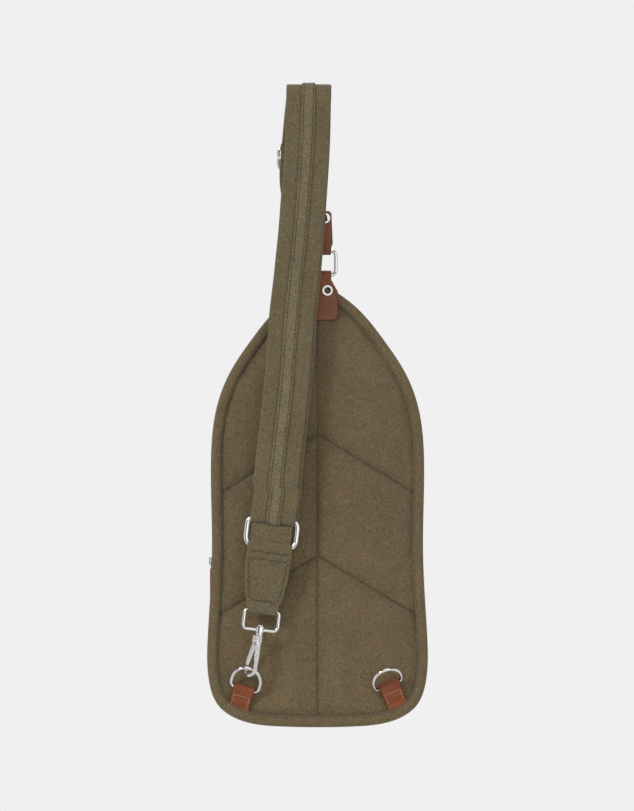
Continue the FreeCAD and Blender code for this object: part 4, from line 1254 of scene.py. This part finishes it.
def hook_parts():
    hook = softened("hook_body", "hook_polished", 0.24, 5, "nickel", "nickel", "hook")
    points = coordinates(hook)
    local = leant(points, -STRAP_LEAN) - [TAIL_X, CHAIN_Y, TAIL_Z]
    down = -turned(local, -TAIL_LEAN, (0, 0, 0))[:, 2]
    arm = rise((down - 92.0) / 3.0) * rise((111.0 - down) / 4.0)
    set_coordinates(hook, points + read(hook.data, "normal") * (0.6 * arm)[:, None])
    softened("hook_gate", "gate_polished", 0.22, 4, "nickel", "nickel", "gate")


def carried_over():
    """Gives every CAD node that stays its procedural material."""
    looks = {"nickel": "nickel", "leather": "tab_leather", "zip_teeth": "dark_nickel",
             "zip_tape": "tape", "foam": "foam", "board": "board", "spring_steel": "steel"}
    for part in frame["record"]["subparts"]:
        name, slot = part["node"], part["material_slot"]
        obj = NODES[name]
        small = name.endswith(("slider", "link"))
        for s in obj.material_slots:
            s.link = "OBJECT"
            s.material = M["dark_nickel" if small else looks.get(slot, "lining")]
        if slot == "leather":
            paint(obj, "shade", 1.0)
            paint(obj, "edge", 0.0)


# ---- stage
PALE = 0.871
VIEW_HEIGHT = 689.35           # millimetres across the picture's long side
CAMERA_AWAY = 6.0
LAMP_AIM = (0, 0, -0.3)


def stage():
    mesh = bpy.data.meshes.new("floor")
    floor = linked("floor", mesh)
    in_bmesh(floor, lambda bm: bmesh.ops.create_circle(bm, cap_ends=True, segments=96, radius=1.0))
    floor.location = (0, 0, CAD_BOX[0].z - 0.14)
    material, shader, place = new_material("pale_floor", Roughness=0.9)
    level = noise_at(place, 0.3, 2.0, 0.02) + 1.0
    plug(shader["Base Color"], scaled_colour((0.9, 0.9, 0.9), level))
    mesh.materials.append(material)


def sky():
    """Pale all round, with darker sides for the metal to mirror. The camera sees it plain."""
    world = bpy.data.worlds.new("studio")
    bpy.context.scene.world = world
    world.use_nodes = True
    tree = world.node_tree
    place = node(tree, "TexCoord", {}, "Generated")
    ramp = tree.nodes.new("ShaderNodeValToRGB")
    stops = ramp.color_ramp.elements
    stops[0].position, stops[0].color = 0.0, (0.95, 0.95, 0.95, 1)
    stops[1].position, stops[1].color = 1.0, (0.62, 0.62, 0.62, 1)
    for position, level in ((0.22, 0.9), (0.32, 0.03), (0.70, 0.03), (0.80, 0.8)):
        stops.new(position).color = (level, level, level, 1)
    plug(ramp.inputs["Fac"], node(tree, "SeparateXYZ", {0: place}, "X").calc("ABSOLUTE"))
    seen = node(tree, "LightPath", {}, "Is Camera Ray")
    mirrored = Wire(tree, ramp.outputs["Color"])
    plug(tree.nodes["Background"].inputs["Color"], mixed(seen, mirrored, (PALE, PALE, PALE, 1)))


def lamp(name, place, size, power):
    light = bpy.data.lights.new(name, "AREA")
    light.shape, light.size, light.energy = "DISK", size, power
    obj = linked(name, light)
    obj.location = place
    obj.rotation_mode = "QUATERNION"
    obj.rotation_quaternion = (Vector(LAMP_AIM) - Vector(place)).to_track_quat("-Z", "Y")


def camera():
    data = bpy.data.cameras.new("camera")
    data.sensor_fit, data.sensor_width, data.clip_end = "AUTO", 36.0, 50
    data.lens = 36.0 * CAMERA_AWAY / (VIEW_HEIGHT * MM)
    obj = linked("camera", data)
    obj.location = (-0.425 * MM, -CAMERA_AWAY, -262.65 * MM)
    obj.rotation_euler = (math.pi / 2, 0, 0)
    bpy.context.scene.camera = obj


def studio():
    bpy.context.scene.view_settings.view_transform = "Standard"
    stage()
    sky()
    lamp("key", (-1.9, -2.0, 1.3), 0.8, 36)
    lamp("fill", (1.6, -2.6, 0.2), 2.0, 15)
    lamp("rim", (0.6, 2.4, 1.4), 1.4, 26)
    camera()


quilt_stitches(back_panel())
bindings()
gusset()
main_zip()
front_panel()
pocket()
strap()
strip()
strap_to_slider()
slider_end()
tail_tab()
ring_filler()
leather_pieces()
hook_parts()
carried_over()
studio()
